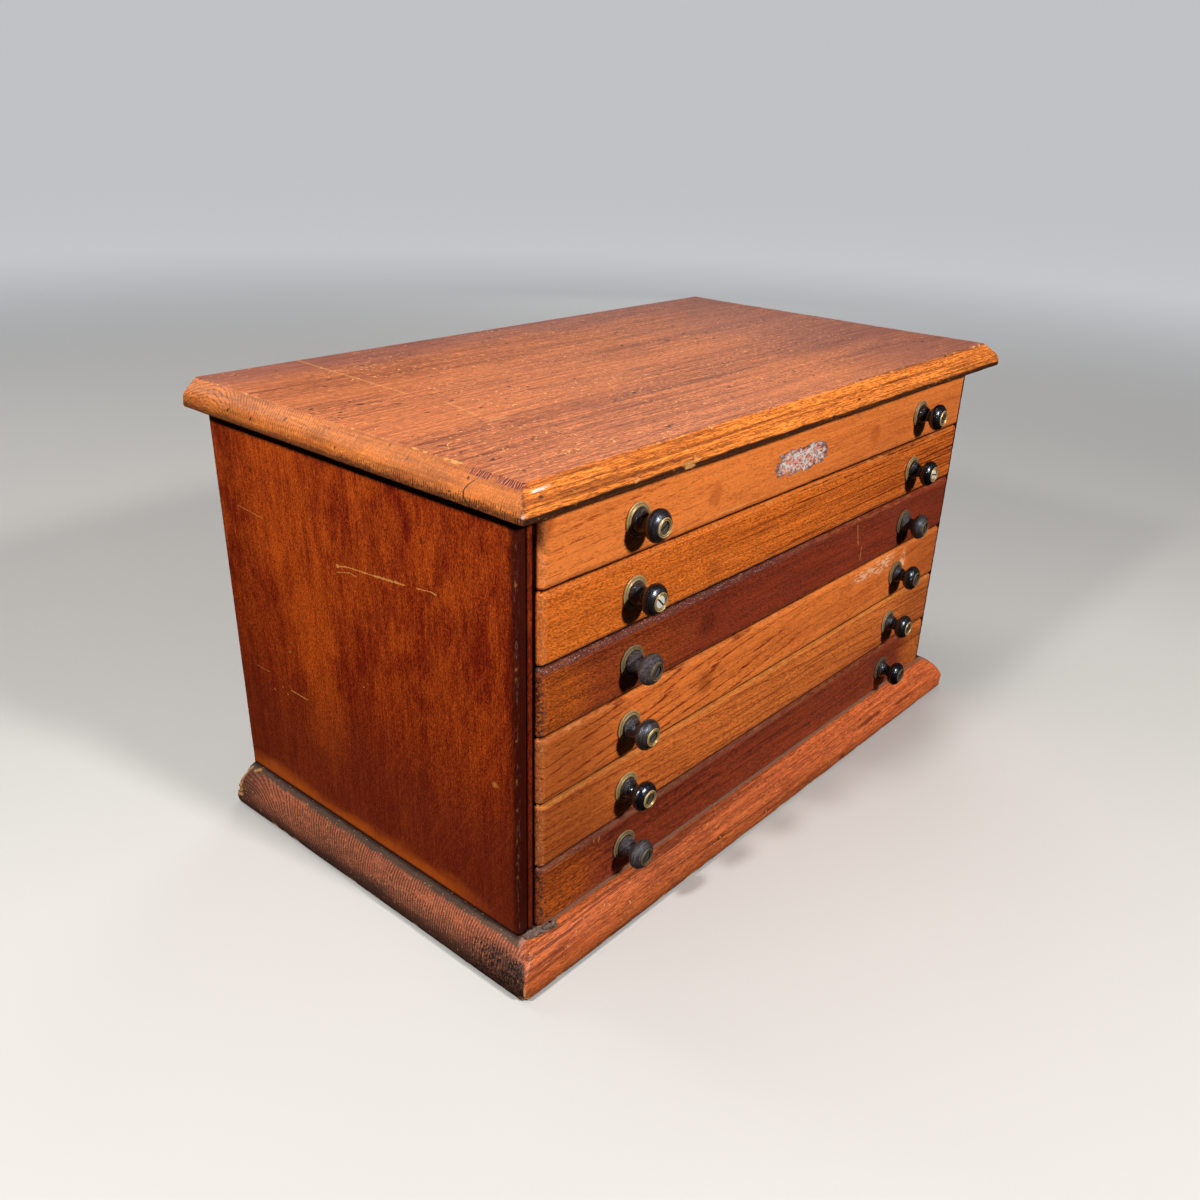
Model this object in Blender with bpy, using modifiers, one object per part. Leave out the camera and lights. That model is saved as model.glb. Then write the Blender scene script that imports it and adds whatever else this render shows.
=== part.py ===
"""Counter-top spool cabinet with six shallow drawers, as separate wooden and brass pieces.

Metres, +Z up. X runs along the front and the front faces -Y. The origin is the centre of the
base board's underside. Every drawer hangs on its own empty, whose place is the middle of the
case's front edge at the foot of that drawer, and it slides out along -Y.
"""

import math

import bmesh
import bpy

# Case
BODY_WIDTH = 0.666
BODY_DEPTH = 0.360
SIDE_THICKNESS = 0.016
BACK_THICKNESS = 0.008
BACK_RABBET = 0.008
QUIRK_WIDTH = 0.0012
QUIRK_DEPTH = 0.0020
QUIRK_FROM_OUTSIDE = 0.0093
SIDE_EDGE_SOFTENING = 0.0008

# Top board
TOP_THICKNESS = 0.022
TOP_SIDE_OVERHANG = 0.0182
TOP_FRONT_OVERHANG = 0.0252
TOP_BACK_OVERHANG = 0.006
TOP_SLOPE = 0.0130
TOP_SLOPE_FULLNESS = 0.34
TOP_LOWER_EDGE = 0.0022
TOP_SLOPE_SEGMENTS = 5

# Base board
BASE_THICKNESS = 0.038
BASE_SIDE_OVERHANG = 0.0205
BASE_FRONT_OVERHANG = 0.0266
BASE_BACK_OVERHANG = 0.004
BASE_ROUND = 0.0185
BASE_ROUND_FULLNESS = 0.44
BASE_LOWER_EDGE = 0.0018
BASE_ROUND_SEGMENTS = 6

# Drawers
DRAWER_COUNT = 6
DRAWER_PITCH = 0.057
DRAWER_TRAVEL = 0.250
CLEARANCE_UNDER_DRAWERS = 0.001
CLEARANCE_OVER_DRAWERS = 0.0035
FRONT_JOINT = 0.0006
FRONT_END_GAP = 0.0005
FRONT_THICKNESS = 0.020
FRONT_PROUD = 0.007
FRONT_EDGE_ROUND = 0.005
FRONT_EDGE_SEGMENTS = 3
FRONT_RABBET = 0.010
DRAWER_SIDE_THICKNESS = 0.012
DRAWER_SIDE_CLEARANCE = 0.001
DRAWER_SIDE_BELOW_FRONT = 0.0045
DRAWER_SIDE_ABOVE_FOOT = 0.0035
DRAWER_BACK_THICKNESS = 0.010
DRAWER_BACK_BELOW_SIDES = 0.004
DRAWER_BACK_CLEARANCE = 0.005
BOTTOM_THICKNESS = 0.005
BOTTOM_ABOVE_SIDE_FOOT = 0.005
BOTTOM_GROOVE_DEPTH = 0.004

# Runners on the side panels, and the grooves in the drawer sides that slide on them
RUNNER_HEIGHT = 0.011
RUNNER_PROJECTION = 0.0080
RUNNER_ROOT = 0.001
RUNNER_END_CLEARANCE = 0.0004

# Knobs and their brass rosettes, measured along the knob's axis from the drawer's face
KNOB_FROM_BODY_SIDE = 0.1142
KNOB_RADIUS = 0.0125
KNOB_BALL_CENTRE = 0.0183
KNOB_BALL_HALF_LENGTH = 0.0086
KNOB_NECK_RADIUS = 0.0056
KNOB_NECK_AT = 0.0095
KNOB_BASE_RADIUS = 0.0090
KNOB_BASE_RIM = 0.0008
KNOB_SPIGOT_RADIUS = 0.0040
FERRULE_RADIUS = 0.0078
FERRULE_HOLE_RADIUS = 0.0047
FERRULE_HEIGHT = 0.0007
FERRULE_RECESS = 0.0022
KNOB_BACK_STEPS = 3
KNOB_FRONT_STEPS = 3
ROSETTE_RADIUS = 0.0134
ROSETTE_RIM = 0.0013
ROSETTE_RIDGE = 0.0023
ROSETTE_SEAT = 0.0014
TURNED_SEGMENTS = 18

# Gap kept between pieces that touch
TOUCH = 0.0003
# How far a cutter runs past the face that it opens
CUTTER_OVERRUN = 0.002
MERGE_DISTANCE = 0.00001

BODY_HEIGHT = DRAWER_COUNT * DRAWER_PITCH + CLEARANCE_UNDER_DRAWERS + CLEARANCE_OVER_DRAWERS
HALF_WIDTH = BODY_WIDTH / 2
HALF_DEPTH = BODY_DEPTH / 2
BODY_FOOT = BASE_THICKNESS
BODY_HEAD = BASE_THICKNESS + BODY_HEIGHT
INNER_HALF_WIDTH = HALF_WIDTH - SIDE_THICKNESS

# Drawer sizes in the drawer's own frame: y is 0 at the case's front edge, z is 0 at its foot
FRONT_HEIGHT = DRAWER_PITCH - FRONT_JOINT
FRONT_BACK_FACE = FRONT_THICKNESS - FRONT_PROUD
FRONT_HALF_WIDTH = INNER_HALF_WIDTH - FRONT_END_GAP
SIDE_OUTER_X = INNER_HALF_WIDTH - DRAWER_SIDE_CLEARANCE
SIDE_INNER_X = SIDE_OUTER_X - DRAWER_SIDE_THICKNESS
SIDE_FOOT = DRAWER_SIDE_ABOVE_FOOT
SIDE_HEAD = FRONT_HEIGHT - DRAWER_SIDE_BELOW_FRONT
DRAWER_REAR = BODY_DEPTH - BACK_THICKNESS - DRAWER_BACK_CLEARANCE
BOTTOM_LOW = SIDE_FOOT + BOTTOM_ABOVE_SIDE_FOOT
BOTTOM_HIGH = BOTTOM_LOW + BOTTOM_THICKNESS
RUNNER_LOW = (BOTTOM_HIGH + SIDE_HEAD - RUNNER_HEIGHT) / 2
RUNNER_HIGH = RUNNER_LOW + RUNNER_HEIGHT
RUNNER_GROOVE_DEPTH = RUNNER_PROJECTION - DRAWER_SIDE_CLEARANCE + RUNNER_END_CLEARANCE

# Linear colour, roughness and metallic value of each finish
FINISHES = {
    "top_wood": ((0.33, 0.125, 0.055), 0.38, 0.0),
    "base_wood": ((0.36, 0.115, 0.040), 0.45, 0.0),
    "side_wood": ((0.20, 0.040, 0.015), 0.32, 0.0),
    "orange_front_wood": ((0.52, 0.200, 0.050), 0.42, 0.0),
    "dark_front_wood": ((0.16, 0.035, 0.014), 0.36, 0.0),
    "drawer_box_wood": ((0.50, 0.300, 0.140), 0.60, 0.0),
    "back_wood": ((0.30, 0.160, 0.080), 0.65, 0.0),
    "ebonised_wood": ((0.012, 0.010, 0.010), 0.25, 0.0),
    "aged_brass": ((0.42, 0.330, 0.170), 0.40, 1.0),
}
DARK_DRAWERS = (3, 6)


def clear_scene():
    """Remove the objects and collections of the start-up scene."""
    for old in list(bpy.data.objects):
        bpy.data.objects.remove(old, do_unlink=True)
    for old in list(bpy.data.collections):
        bpy.data.collections.remove(old)


def new_collection(name):
    collection = bpy.data.collections.new(name)
    bpy.context.scene.collection.children.link(collection)
    return collection


def new_material(name, colour, roughness, metallic):
    material = bpy.data.materials.new(name)
    material.use_nodes = True
    shader = material.node_tree.nodes["Principled BSDF"]
    shader.inputs["Base Color"].default_value = (*colour, 1.0)
    shader.inputs["Roughness"].default_value = roughness
    shader.inputs["Metallic"].default_value = metallic
    return material


def box_mesh(name, size, bevel_edges=None):
    """A box round its own centre; bevel_edges gives each edge's bevel weight from its middle."""
    form = bmesh.new()
    bmesh.ops.create_cube(form, size=1.0)
    bmesh.ops.scale(form, vec=size, verts=form.verts)
    if bevel_edges:
        weight = form.edges.layers.float.new("bevel_weight_edge")
        for edge in form.edges:
            middle = (edge.verts[0].co + edge.verts[1].co) / 2
            edge[weight] = bevel_edges([c / (s / 2) for c, s in zip(middle, size)])
    mesh = bpy.data.meshes.new(name)
    form.to_mesh(mesh)
    form.free()
    return mesh


def add_object(name, mesh, collection, location, parent=None, material=None):
    piece = bpy.data.objects.new(name, mesh)
    collection.objects.link(piece)
    piece.parent = parent
    piece.location = location
    if material and not mesh.materials:
        mesh.materials.append(material)
    return piece


def add_box(name, low, high, collection, parent=None, material=None, bevel_edges=None):
    """A box between two corners, with its origin at its centre."""
    size = [h - l for l, h in zip(low, high)]
    centre = [(l + h) / 2 for l, h in zip(low, high)]
    mesh = box_mesh(name, size, bevel_edges)
    return add_object(name, mesh, collection, centre, parent, material)


def bevel(piece, width, segments, fullness=0.5):
    """Bevel the weighted edges; fullness is 0.25 for a flat slope and 0.5 for a round."""
    modifier = piece.modifiers.new("edges", 'BEVEL')
    modifier.limit_method = 'WEIGHT'
    modifier.width = width
    modifier.segments = segments
    modifier.profile = fullness


def combine(piece, other, operation):
    """Cut or join with another solid, which is then only a wire guide."""
    modifier = piece.modifiers.new(other.name, 'BOOLEAN')
    modifier.operation = operation
    modifier.object = other
    modifier.solver = 'EXACT'
    other.hide_render = True
    other.display_type = 'WIRE'


def moulded_edges(lower_share):
    """Weights for a board moulded along its front and both ends, and plain at the back."""
    def weight(middle):
        x, y, z = middle
        on_back = y > 0.5
        upright = abs(z) < 0.5
        if on_back or upright:
            return 0.0
        return 1.0 if z > 0 else lower_share
    return weight


def front_face_edges(middle):
    """Weights for the four edges round a box's front face."""
    return 1.0 if middle[1] < -0.5 else 0.0


def front_upright_edges(middle):
    """Weights for a box's two upright edges at the front."""
    return 1.0 if middle[1] < -0.5 and abs(middle[2]) < 0.5 else 0.0


def make_top_board(parts, material):
    low = (-HALF_WIDTH - TOP_SIDE_OVERHANG, -HALF_DEPTH - TOP_FRONT_OVERHANG, BODY_HEAD)
    high = (HALF_WIDTH + TOP_SIDE_OVERHANG, HALF_DEPTH + TOP_BACK_OVERHANG, BODY_HEAD + TOP_THICKNESS)
    weights = moulded_edges(TOP_LOWER_EDGE / TOP_SLOPE)
    board = add_box("top_board", low, high, parts, None, material, weights)
    bevel(board, TOP_SLOPE, TOP_SLOPE_SEGMENTS, TOP_SLOPE_FULLNESS)


def make_base_board(parts, material):
    low = (-HALF_WIDTH - BASE_SIDE_OVERHANG, -HALF_DEPTH - BASE_FRONT_OVERHANG, 0.0)
    high = (HALF_WIDTH + BASE_SIDE_OVERHANG, HALF_DEPTH + BASE_BACK_OVERHANG, BASE_THICKNESS)
    weights = moulded_edges(BASE_LOWER_EDGE / BASE_ROUND)
    board = add_box("base_board", low, high, parts, None, material, weights)
    bevel(board, BASE_ROUND, BASE_ROUND_SEGMENTS, BASE_ROUND_FULLNESS)


def span(side, inner, outer):
    """The low and high x of something on the left (side -1) or right (side +1)."""
    return sorted((side * inner, side * outer))


def drawer_foot(number):
    """Height of the foot of a drawer's front; drawer 1 is the top one."""
    return BODY_FOOT + CLEARANCE_UNDER_DRAWERS + (DRAWER_COUNT - number) * DRAWER_PITCH


def make_side_panel(side, label, parts, cutters, material):
    """One side of the case: quirked front edge, back rabbet and a runner for each drawer."""
    foot, head = BODY_FOOT + TOUCH, BODY_HEAD - TOUCH
    left, right = span(side, INNER_HALF_WIDTH, HALF_WIDTH)
    name = "side_panel_" + label
    low, high = (left, -HALF_DEPTH, foot), (right, HALF_DEPTH, head)
    panel = add_box(name, low, high, parts, None, material, front_upright_edges)
    bevel(panel, SIDE_EDGE_SOFTENING, 2)

    quirk_outer = HALF_WIDTH - QUIRK_FROM_OUTSIDE
    left, right = span(side, quirk_outer - QUIRK_WIDTH, quirk_outer)
    low = (left, -HALF_DEPTH - CUTTER_OVERRUN, foot - CUTTER_OVERRUN)
    high = (right, -HALF_DEPTH + QUIRK_DEPTH, head + CUTTER_OVERRUN)
    combine(panel, add_box(name + "_quirk_cutter", low, high, cutters), 'DIFFERENCE')

    left, right = span(side, INNER_HALF_WIDTH - CUTTER_OVERRUN, INNER_HALF_WIDTH + BACK_RABBET)
    low = (left, HALF_DEPTH - BACK_THICKNESS - TOUCH, foot - CUTTER_OVERRUN)
    high = (right, HALF_DEPTH + CUTTER_OVERRUN, head + CUTTER_OVERRUN)
    combine(panel, add_box(name + "_rabbet_cutter", low, high, cutters), 'DIFFERENCE')

    left, right = span(side, INNER_HALF_WIDTH - RUNNER_PROJECTION, INNER_HALF_WIDTH + RUNNER_ROOT)
    runner_front = -HALF_DEPTH + FRONT_BACK_FACE + TOUCH
    runner_back = HALF_DEPTH - BACK_THICKNESS - 2 * TOUCH
    for number in range(1, DRAWER_COUNT + 1):
        low = (left, runner_front, drawer_foot(number) + RUNNER_LOW)
        high = (right, runner_back, drawer_foot(number) + RUNNER_HIGH)
        runner = add_box(f"runner_{number}_{label}_form", low, high, cutters)
        combine(panel, runner, 'UNION')


def make_back_panel(parts, material):
    reach = INNER_HALF_WIDTH + BACK_RABBET - TOUCH
    low = (-reach, HALF_DEPTH - BACK_THICKNESS, BODY_FOOT + TOUCH)
    high = (reach, HALF_DEPTH, BODY_HEAD - TOUCH)
    add_box("back_panel", low, high, parts, None, material)


def make_drawer_front(name, drawer, parts, cutters, material):
    """The front board, rabbeted for the sides and grooved for the bottom."""
    low = (-FRONT_HALF_WIDTH, -FRONT_PROUD, 0.0)
    high = (FRONT_HALF_WIDTH, FRONT_BACK_FACE, FRONT_HEIGHT)
    front = add_box(name + "_front", low, high, parts, drawer, material, front_face_edges)
    bevel(front, FRONT_EDGE_ROUND, FRONT_EDGE_SEGMENTS)
    past_back = FRONT_BACK_FACE + CUTTER_OVERRUN
    for side, label in ((-1, "left"), (1, "right")):
        left, right = span(side, SIDE_INNER_X - TOUCH, FRONT_HALF_WIDTH + CUTTER_OVERRUN)
        low = (left, FRONT_BACK_FACE - FRONT_RABBET, -CUTTER_OVERRUN)
        high = (right, past_back, FRONT_HEIGHT + CUTTER_OVERRUN)
        cutter = add_box(f"{name}_front_rabbet_{label}_cutter", low, high, cutters, drawer)
        combine(front, cutter, 'DIFFERENCE')
    reach = SIDE_INNER_X + CUTTER_OVERRUN
    low = (-reach, FRONT_BACK_FACE - BOTTOM_GROOVE_DEPTH, BOTTOM_LOW - TOUCH)
    high = (reach, past_back, BOTTOM_HIGH + TOUCH)
    combine(front, add_box(name + "_front_groove_cutter", low, high, cutters, drawer), 'DIFFERENCE')


def make_drawer_side(name, side, label, drawer, parts, cutters, material):
    """A drawer side, grooved outside for its runner and inside for the bottom."""
    name = f"{name}_side_{label}"
    front_end = FRONT_BACK_FACE - FRONT_RABBET + TOUCH
    left, right = span(side, SIDE_INNER_X, SIDE_OUTER_X)
    low, high = (left, front_end, SIDE_FOOT), (right, DRAWER_REAR, SIDE_HEAD)
    board = add_box(name, low, high, parts, drawer, material)
    past_ends = (front_end - CUTTER_OVERRUN, DRAWER_REAR + CUTTER_OVERRUN)

    left, right = span(side, SIDE_OUTER_X - RUNNER_GROOVE_DEPTH, SIDE_OUTER_X + CUTTER_OVERRUN)
    low = (left, past_ends[0], RUNNER_LOW - TOUCH)
    high = (right, past_ends[1], RUNNER_HIGH + TOUCH)
    combine(board, add_box(name + "_runner_cutter", low, high, cutters, drawer), 'DIFFERENCE')

    left, right = span(side, SIDE_INNER_X - CUTTER_OVERRUN, SIDE_INNER_X + BOTTOM_GROOVE_DEPTH)
    low = (left, past_ends[0], BOTTOM_LOW - TOUCH)
    high = (right, past_ends[1], BOTTOM_HIGH + TOUCH)
    combine(board, add_box(name + "_bottom_cutter", low, high, cutters, drawer), 'DIFFERENCE')


def make_drawer_back(name, drawer, parts, material):
    reach = SIDE_INNER_X - TOUCH
    low = (-reach, DRAWER_REAR - DRAWER_BACK_THICKNESS, BOTTOM_HIGH + TOUCH)
    high = (reach, DRAWER_REAR, SIDE_HEAD - DRAWER_BACK_BELOW_SIDES)
    add_box(name + "_back", low, high, parts, drawer, material)


def make_drawer_bottom(name, drawer, parts, material):
    reach = SIDE_INNER_X + BOTTOM_GROOVE_DEPTH - TOUCH
    low = (-reach, FRONT_BACK_FACE - BOTTOM_GROOVE_DEPTH + TOUCH, BOTTOM_LOW)
    high = (reach, DRAWER_REAR, BOTTOM_HIGH)
    add_box(name + "_bottom", low, high, parts, drawer, material)


def ball_height(radius):
    """Distance along the axis from the ball's middle to where it has this radius."""
    return KNOB_BALL_HALF_LENGTH * math.sqrt(1.0 - (radius / KNOB_RADIUS) ** 2)


def ball_arc(first_angle, last_angle, steps):
    """Points of the ball's outline; the angle is 0 at its widest ring and grows to the front."""
    points = []
    for step in range(steps + 1):
        angle = first_angle + (last_angle - first_angle) * step / steps
        radius = KNOB_RADIUS * math.cos(angle)
        points.append((radius, KNOB_BALL_CENTRE + KNOB_BALL_HALF_LENGTH * math.sin(angle)))
    return points


def knob_profile():
    """Outline of knob, ferrule ring and sunk screw as (radius, height), from the face outwards."""
    seat = ROSETTE_SEAT + 2 * TOUCH
    front = KNOB_BALL_CENTRE + ball_height(FERRULE_RADIUS)
    neck_angle = -math.acos(KNOB_NECK_RADIUS / KNOB_RADIUS)
    ring_angle = math.acos(FERRULE_RADIUS / KNOB_RADIUS)
    flare_middle = (KNOB_NECK_RADIUS * 0.6 + KNOB_BASE_RADIUS * 0.4, (seat + KNOB_NECK_AT) / 2)
    outline = [(0.0, TOUCH), (KNOB_SPIGOT_RADIUS, TOUCH), (KNOB_SPIGOT_RADIUS, seat)]
    outline += [(KNOB_BASE_RADIUS, seat), (KNOB_BASE_RADIUS, seat + KNOB_BASE_RIM)]
    outline += [flare_middle, (KNOB_NECK_RADIUS, KNOB_NECK_AT)]
    outline += ball_arc(neck_angle, 0.0, KNOB_BACK_STEPS)
    outline += ball_arc(0.0, ring_angle, KNOB_FRONT_STEPS)[1:]
    outline += [(FERRULE_RADIUS, front + FERRULE_HEIGHT), (FERRULE_HOLE_RADIUS, front + FERRULE_HEIGHT)]
    recess_floor = front + FERRULE_HEIGHT - FERRULE_RECESS
    outline += [(FERRULE_HOLE_RADIUS, recess_floor), (0.0, recess_floor)]
    return outline


def rosette_profile():
    """Closed outline of the brass ring: hole, seat for the knob, ridge, slope and rim."""
    hole = KNOB_SPIGOT_RADIUS + TOUCH
    seat_edge = KNOB_BASE_RADIUS + TOUCH
    ridge = (seat_edge + ROSETTE_RADIUS) / 2
    seat = TOUCH + ROSETTE_SEAT
    outline = [(hole, TOUCH), (ROSETTE_RADIUS, TOUCH), (ROSETTE_RADIUS, ROSETTE_RIM)]
    outline += [(ridge, ROSETTE_RIDGE), (seat_edge, ROSETTE_RIDGE), (seat_edge, seat), (hole, seat)]
    return outline


def profile_mesh(name, outline, closed):
    """Edges through an outline in the local XZ plane, down its outer side so faces point out."""
    form = bmesh.new()
    points = [form.verts.new((radius, 0.0, height)) for radius, height in reversed(outline)]
    for first, second in zip(points, points[1:]):
        form.edges.new((first, second))
    if closed:
        form.edges.new((points[-1], points[0]))
    mesh = bpy.data.meshes.new(name)
    form.to_mesh(mesh)
    form.free()
    return mesh


def turn(piece):
    """Turn a profile round the local Z axis, and point that axis out of the drawer's face."""
    modifier = piece.modifiers.new("turned", 'SCREW')
    modifier.axis = 'Z'
    modifier.steps = TURNED_SEGMENTS
    modifier.render_steps = TURNED_SEGMENTS
    modifier.use_merge_vertices = True
    modifier.merge_threshold = MERGE_DISTANCE
    modifier.use_smooth_shade = True
    piece.rotation_euler = (math.pi / 2, 0.0, 0.0)


def make_slide(name, number, parts):
    """The empty that carries a drawer, held to the drawer's travel along Y."""
    slide = bpy.data.objects.new(name + "_slide", None)
    parts.objects.link(slide)
    slide.location = (0.0, -HALF_DEPTH, drawer_foot(number))
    limit = slide.constraints.new('LIMIT_LOCATION')
    limit.use_min_y = True
    limit.use_max_y = True
    limit.use_transform_limit = True
    limit.min_y = -HALF_DEPTH - DRAWER_TRAVEL
    limit.max_y = -HALF_DEPTH
    return slide


def make_drawer(number, parts, cutters, materials, turned_meshes):
    name = f"drawer_{number}"
    drawer = make_slide(name, number, parts)
    dark = number in DARK_DRAWERS
    front_wood = materials["dark_front_wood" if dark else "orange_front_wood"]
    box_wood = materials["drawer_box_wood"]
    make_drawer_front(name, drawer, parts, cutters, front_wood)
    make_drawer_back(name, drawer, parts, box_wood)
    make_drawer_bottom(name, drawer, parts, box_wood)
    for side, label in ((-1, "left"), (1, "right")):
        make_drawer_side(name, side, label, drawer, parts, cutters, box_wood)
        place = (side * (HALF_WIDTH - KNOB_FROM_BODY_SIDE), -FRONT_PROUD, FRONT_HEIGHT / 2)
        for kind in ("rosette", "knob"):
            turn(add_object(f"{name}_{kind}_{label}", turned_meshes[kind], parts, place, drawer))


def main():
    clear_scene()
    parts = new_collection("spool_cabinet")
    cutters = new_collection("spool_cabinet_cutters")
    materials = {name: new_material(name, *finish) for name, finish in FINISHES.items()}
    make_base_board(parts, materials["base_wood"])
    make_top_board(parts, materials["top_wood"])
    make_back_panel(parts, materials["back_wood"])
    for side, label in ((-1, "left"), (1, "right")):
        make_side_panel(side, label, parts, cutters, materials["side_wood"])
    turned_meshes = {
        "knob": profile_mesh("knob_profile", knob_profile(), closed=False),
        "rosette": profile_mesh("rosette_profile", rosette_profile(), closed=True),
    }
    turned_meshes["knob"].materials.append(materials["ebonised_wood"])
    turned_meshes["rosette"].materials.append(materials["aged_brass"])
    for number in range(1, DRAWER_COUNT + 1):
        make_drawer(number, parts, cutters, materials, turned_meshes)


main()
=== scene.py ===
"""Fine pieces, finishes and studio for a counter-top spool cabinet with six shallow drawers.

Metres, +Z up; the drawer fronts face -Y and the origin is under the middle of the base board.
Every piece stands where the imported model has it, and rides on the same body.
"""

import math
from types import SimpleNamespace

import bpy
import numpy as np
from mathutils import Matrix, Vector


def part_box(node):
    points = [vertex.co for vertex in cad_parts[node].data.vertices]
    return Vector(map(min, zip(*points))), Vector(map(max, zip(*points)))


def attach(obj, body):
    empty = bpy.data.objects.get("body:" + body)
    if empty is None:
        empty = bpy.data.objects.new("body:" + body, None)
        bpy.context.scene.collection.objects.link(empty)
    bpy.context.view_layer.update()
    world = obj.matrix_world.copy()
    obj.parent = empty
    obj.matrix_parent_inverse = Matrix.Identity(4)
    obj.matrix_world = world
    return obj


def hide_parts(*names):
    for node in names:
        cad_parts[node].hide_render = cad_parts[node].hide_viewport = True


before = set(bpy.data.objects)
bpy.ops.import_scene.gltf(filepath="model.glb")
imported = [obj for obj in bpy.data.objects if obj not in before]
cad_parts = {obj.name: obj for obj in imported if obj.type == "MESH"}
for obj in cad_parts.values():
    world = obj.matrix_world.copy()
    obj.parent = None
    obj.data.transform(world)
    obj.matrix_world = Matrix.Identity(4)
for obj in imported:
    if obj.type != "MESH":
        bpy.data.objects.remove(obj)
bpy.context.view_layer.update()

bl_info = {
    "name": "Spool Cabinet",
    "version": (1, 0, 0),
    "blender": (4, 5, 0),
    "location": "3D View > Sidebar > Cabinet",
    "description": "Builds the boards, drawers, knobs and studio of an antique spool cabinet",
    "category": "Add Mesh",
}

DRAWERS = range(1, 7)
SIDES = {"left": -1, "right": 1}
CASE = "case"


def tint(red, green, blue):
    """Linear colour of a screen colour given in 0 to 255."""
    shares = [channel / 255 for channel in (red, green, blue)]
    return np.array([s / 12.92 if s < 0.04045 else ((s + 0.055) / 1.055) ** 2.4 for s in shares])


def node_box(name):
    """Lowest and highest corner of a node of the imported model, as arrays."""
    low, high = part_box(name)
    return np.array(low), np.array(high)


# What a user can change

def length(name, description, default, low, high):
    """A size property in metres."""
    return bpy.props.FloatProperty(name=name, description=description, default=default, min=low,
                                   max=high, precision=5, subtype="DISTANCE", unit="LENGTH")


def colour(name, description, *screen):
    """A colour property, its default given as a screen colour in 0 to 255."""
    return bpy.props.FloatVectorProperty(name=name, description=description, size=3, min=0.0,
                                         max=1.0, default=tuple(tint(*screen)), subtype="COLOR")


class CabinetSizes(bpy.types.PropertyGroup):
    """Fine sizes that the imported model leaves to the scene."""
    top_corner: length("Top corner", "Radius of the top board's corners from above",
                       0.0022, 0.0005, 0.01)
    base_corner: length("Base corner", "Radius of the base board's corners from above",
                        0.0016, 0.0005, 0.01)
    front_corner: length("Front corner", "Radius of a drawer front's corners", 0.003, 0.0005, 0.008)
    front_round: length("Front round", "Width of the rounding round a drawer front",
                        0.0052, 0.001, 0.008)
    unevenness: length("Unevenness", "How far hand-planed boards wander from true",
                       0.00016, 0.0, 0.001)
    chip_depth: length("Chip depth", "Depth of the deepest chips", 0.0016, 0.0, 0.004)
    rosette_line: length("Rosette line", "Depth of a rosette's grooves", 0.00034, 0.0, 0.0006)
    slot_width: length("Slot width", "Width of a knob screw's slot", 0.0013, 0.0004, 0.003)
    nail_radius: length("Nail radius", "Radius of a nail head", 0.0019, 0.0005, 0.004)
    label_width: length("Label width", "Width of the paper on the top drawer", 0.084, 0.01, 0.12)
    label_height: length("Label height", "Height of the paper on the top drawer",
                         0.024, 0.005, 0.04)


class CabinetColours(bpy.types.PropertyGroup):
    """Colours of the finishes."""
    top_light: colour("Top, light", "Light grain of the top board", 206, 116, 62)
    top_dark: colour("Top, dark", "Dark grain of the top board", 146, 70, 36)
    edge_light: colour("Edge, light", "Light grain of the top board's moulded front", 250, 140, 56)
    end_light: colour("End, light", "End grain of the top board", 204, 114, 46)
    base_light: colour("Base, light", "Light grain of the base board", 206, 104, 54)
    base_dark: colour("Base, dark", "Dark grain of the base board", 138, 58, 32)
    base_end: colour("Base end", "Stained end grain of the base board", 136, 82, 60)
    side_light: colour("Side, light", "Orange figure of the side panels", 186, 77, 22)
    side_dark: colour("Side, dark", "Red-brown ground of the side panels", 126, 35, 14)
    front_light: colour("Front, light", "Light grain of the orange drawer fronts", 232, 124, 52)
    front_dark: colour("Front, dark", "Dark grain of the orange drawer fronts", 164, 70, 26)
    red_light: colour("Red front, light", "Light grain of the two red-brown fronts", 140, 54, 26)
    red_dark: colour("Red front, dark", "Dark grain of the two red-brown fronts", 86, 26, 13)
    raw: colour("Raw wood", "Bare wood in chips and scratches", 226, 160, 92)
    box_light: colour("Drawer box, light", "Light grain of the bare drawer boxes", 210, 150, 96)
    box_dark: colour("Drawer box, dark", "Dark grain of the bare drawer boxes", 146, 88, 52)
    # This colour is also painted shade: under the top's moulding, and the painted shadow just under
    # the top's overhang on the side panels
    grime_and_shade: colour("Grime", "Old dirt in joints and along dark edges", 30, 15, 12)
    dust: colour("Dust", "Grey dust on the base board's ledge", 104, 86, 74)
    black: colour("Black", "Polish of the knobs", 14, 11, 13)
    brass: colour("Brass", "Aged brass of rosettes and ferrules", 222, 190, 132)
    steel: colour("Steel", "Bright steel of a clean screw", 224, 222, 214)
    paper: colour("Paper", "Old paper left on the top drawer", 206, 194, 186)
    floor: colour("Floor", "Plain studio floor", 204, 202, 199)


def as_arrays(group):
    """The colours of a property group by name, as arrays for arithmetic."""
    names = group.__annotations__
    return SimpleNamespace(**{name: np.array(getattr(group, name)) for name in names})


# Shapes

class Shell:
    """One closed surface: points, groups of faces with equally many corners, and marks."""

    def __init__(self, points, faces, **marks):
        self.points = np.asarray(points, float).reshape(-1, 3)
        self.faces = [np.atleast_2d(group) for group in faces]
        self.marks = {name: np.broadcast_to(value, len(self.points))
                      for name, value in marks.items()}
        if self.volume() < 0:
            self.faces = [group[:, ::-1] for group in self.faces]

    def volume(self):
        """A sixth of the sum of the triple products of the triangles that fan out in each face."""
        total = 0.0
        for group in self.faces:
            first = self.points[group[:, :1]]
            second, third = self.points[group[:, 1:-1]], self.points[group[:, 2:]]
            total += (first * np.cross(second, third)).sum()
        return total / 6


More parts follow.
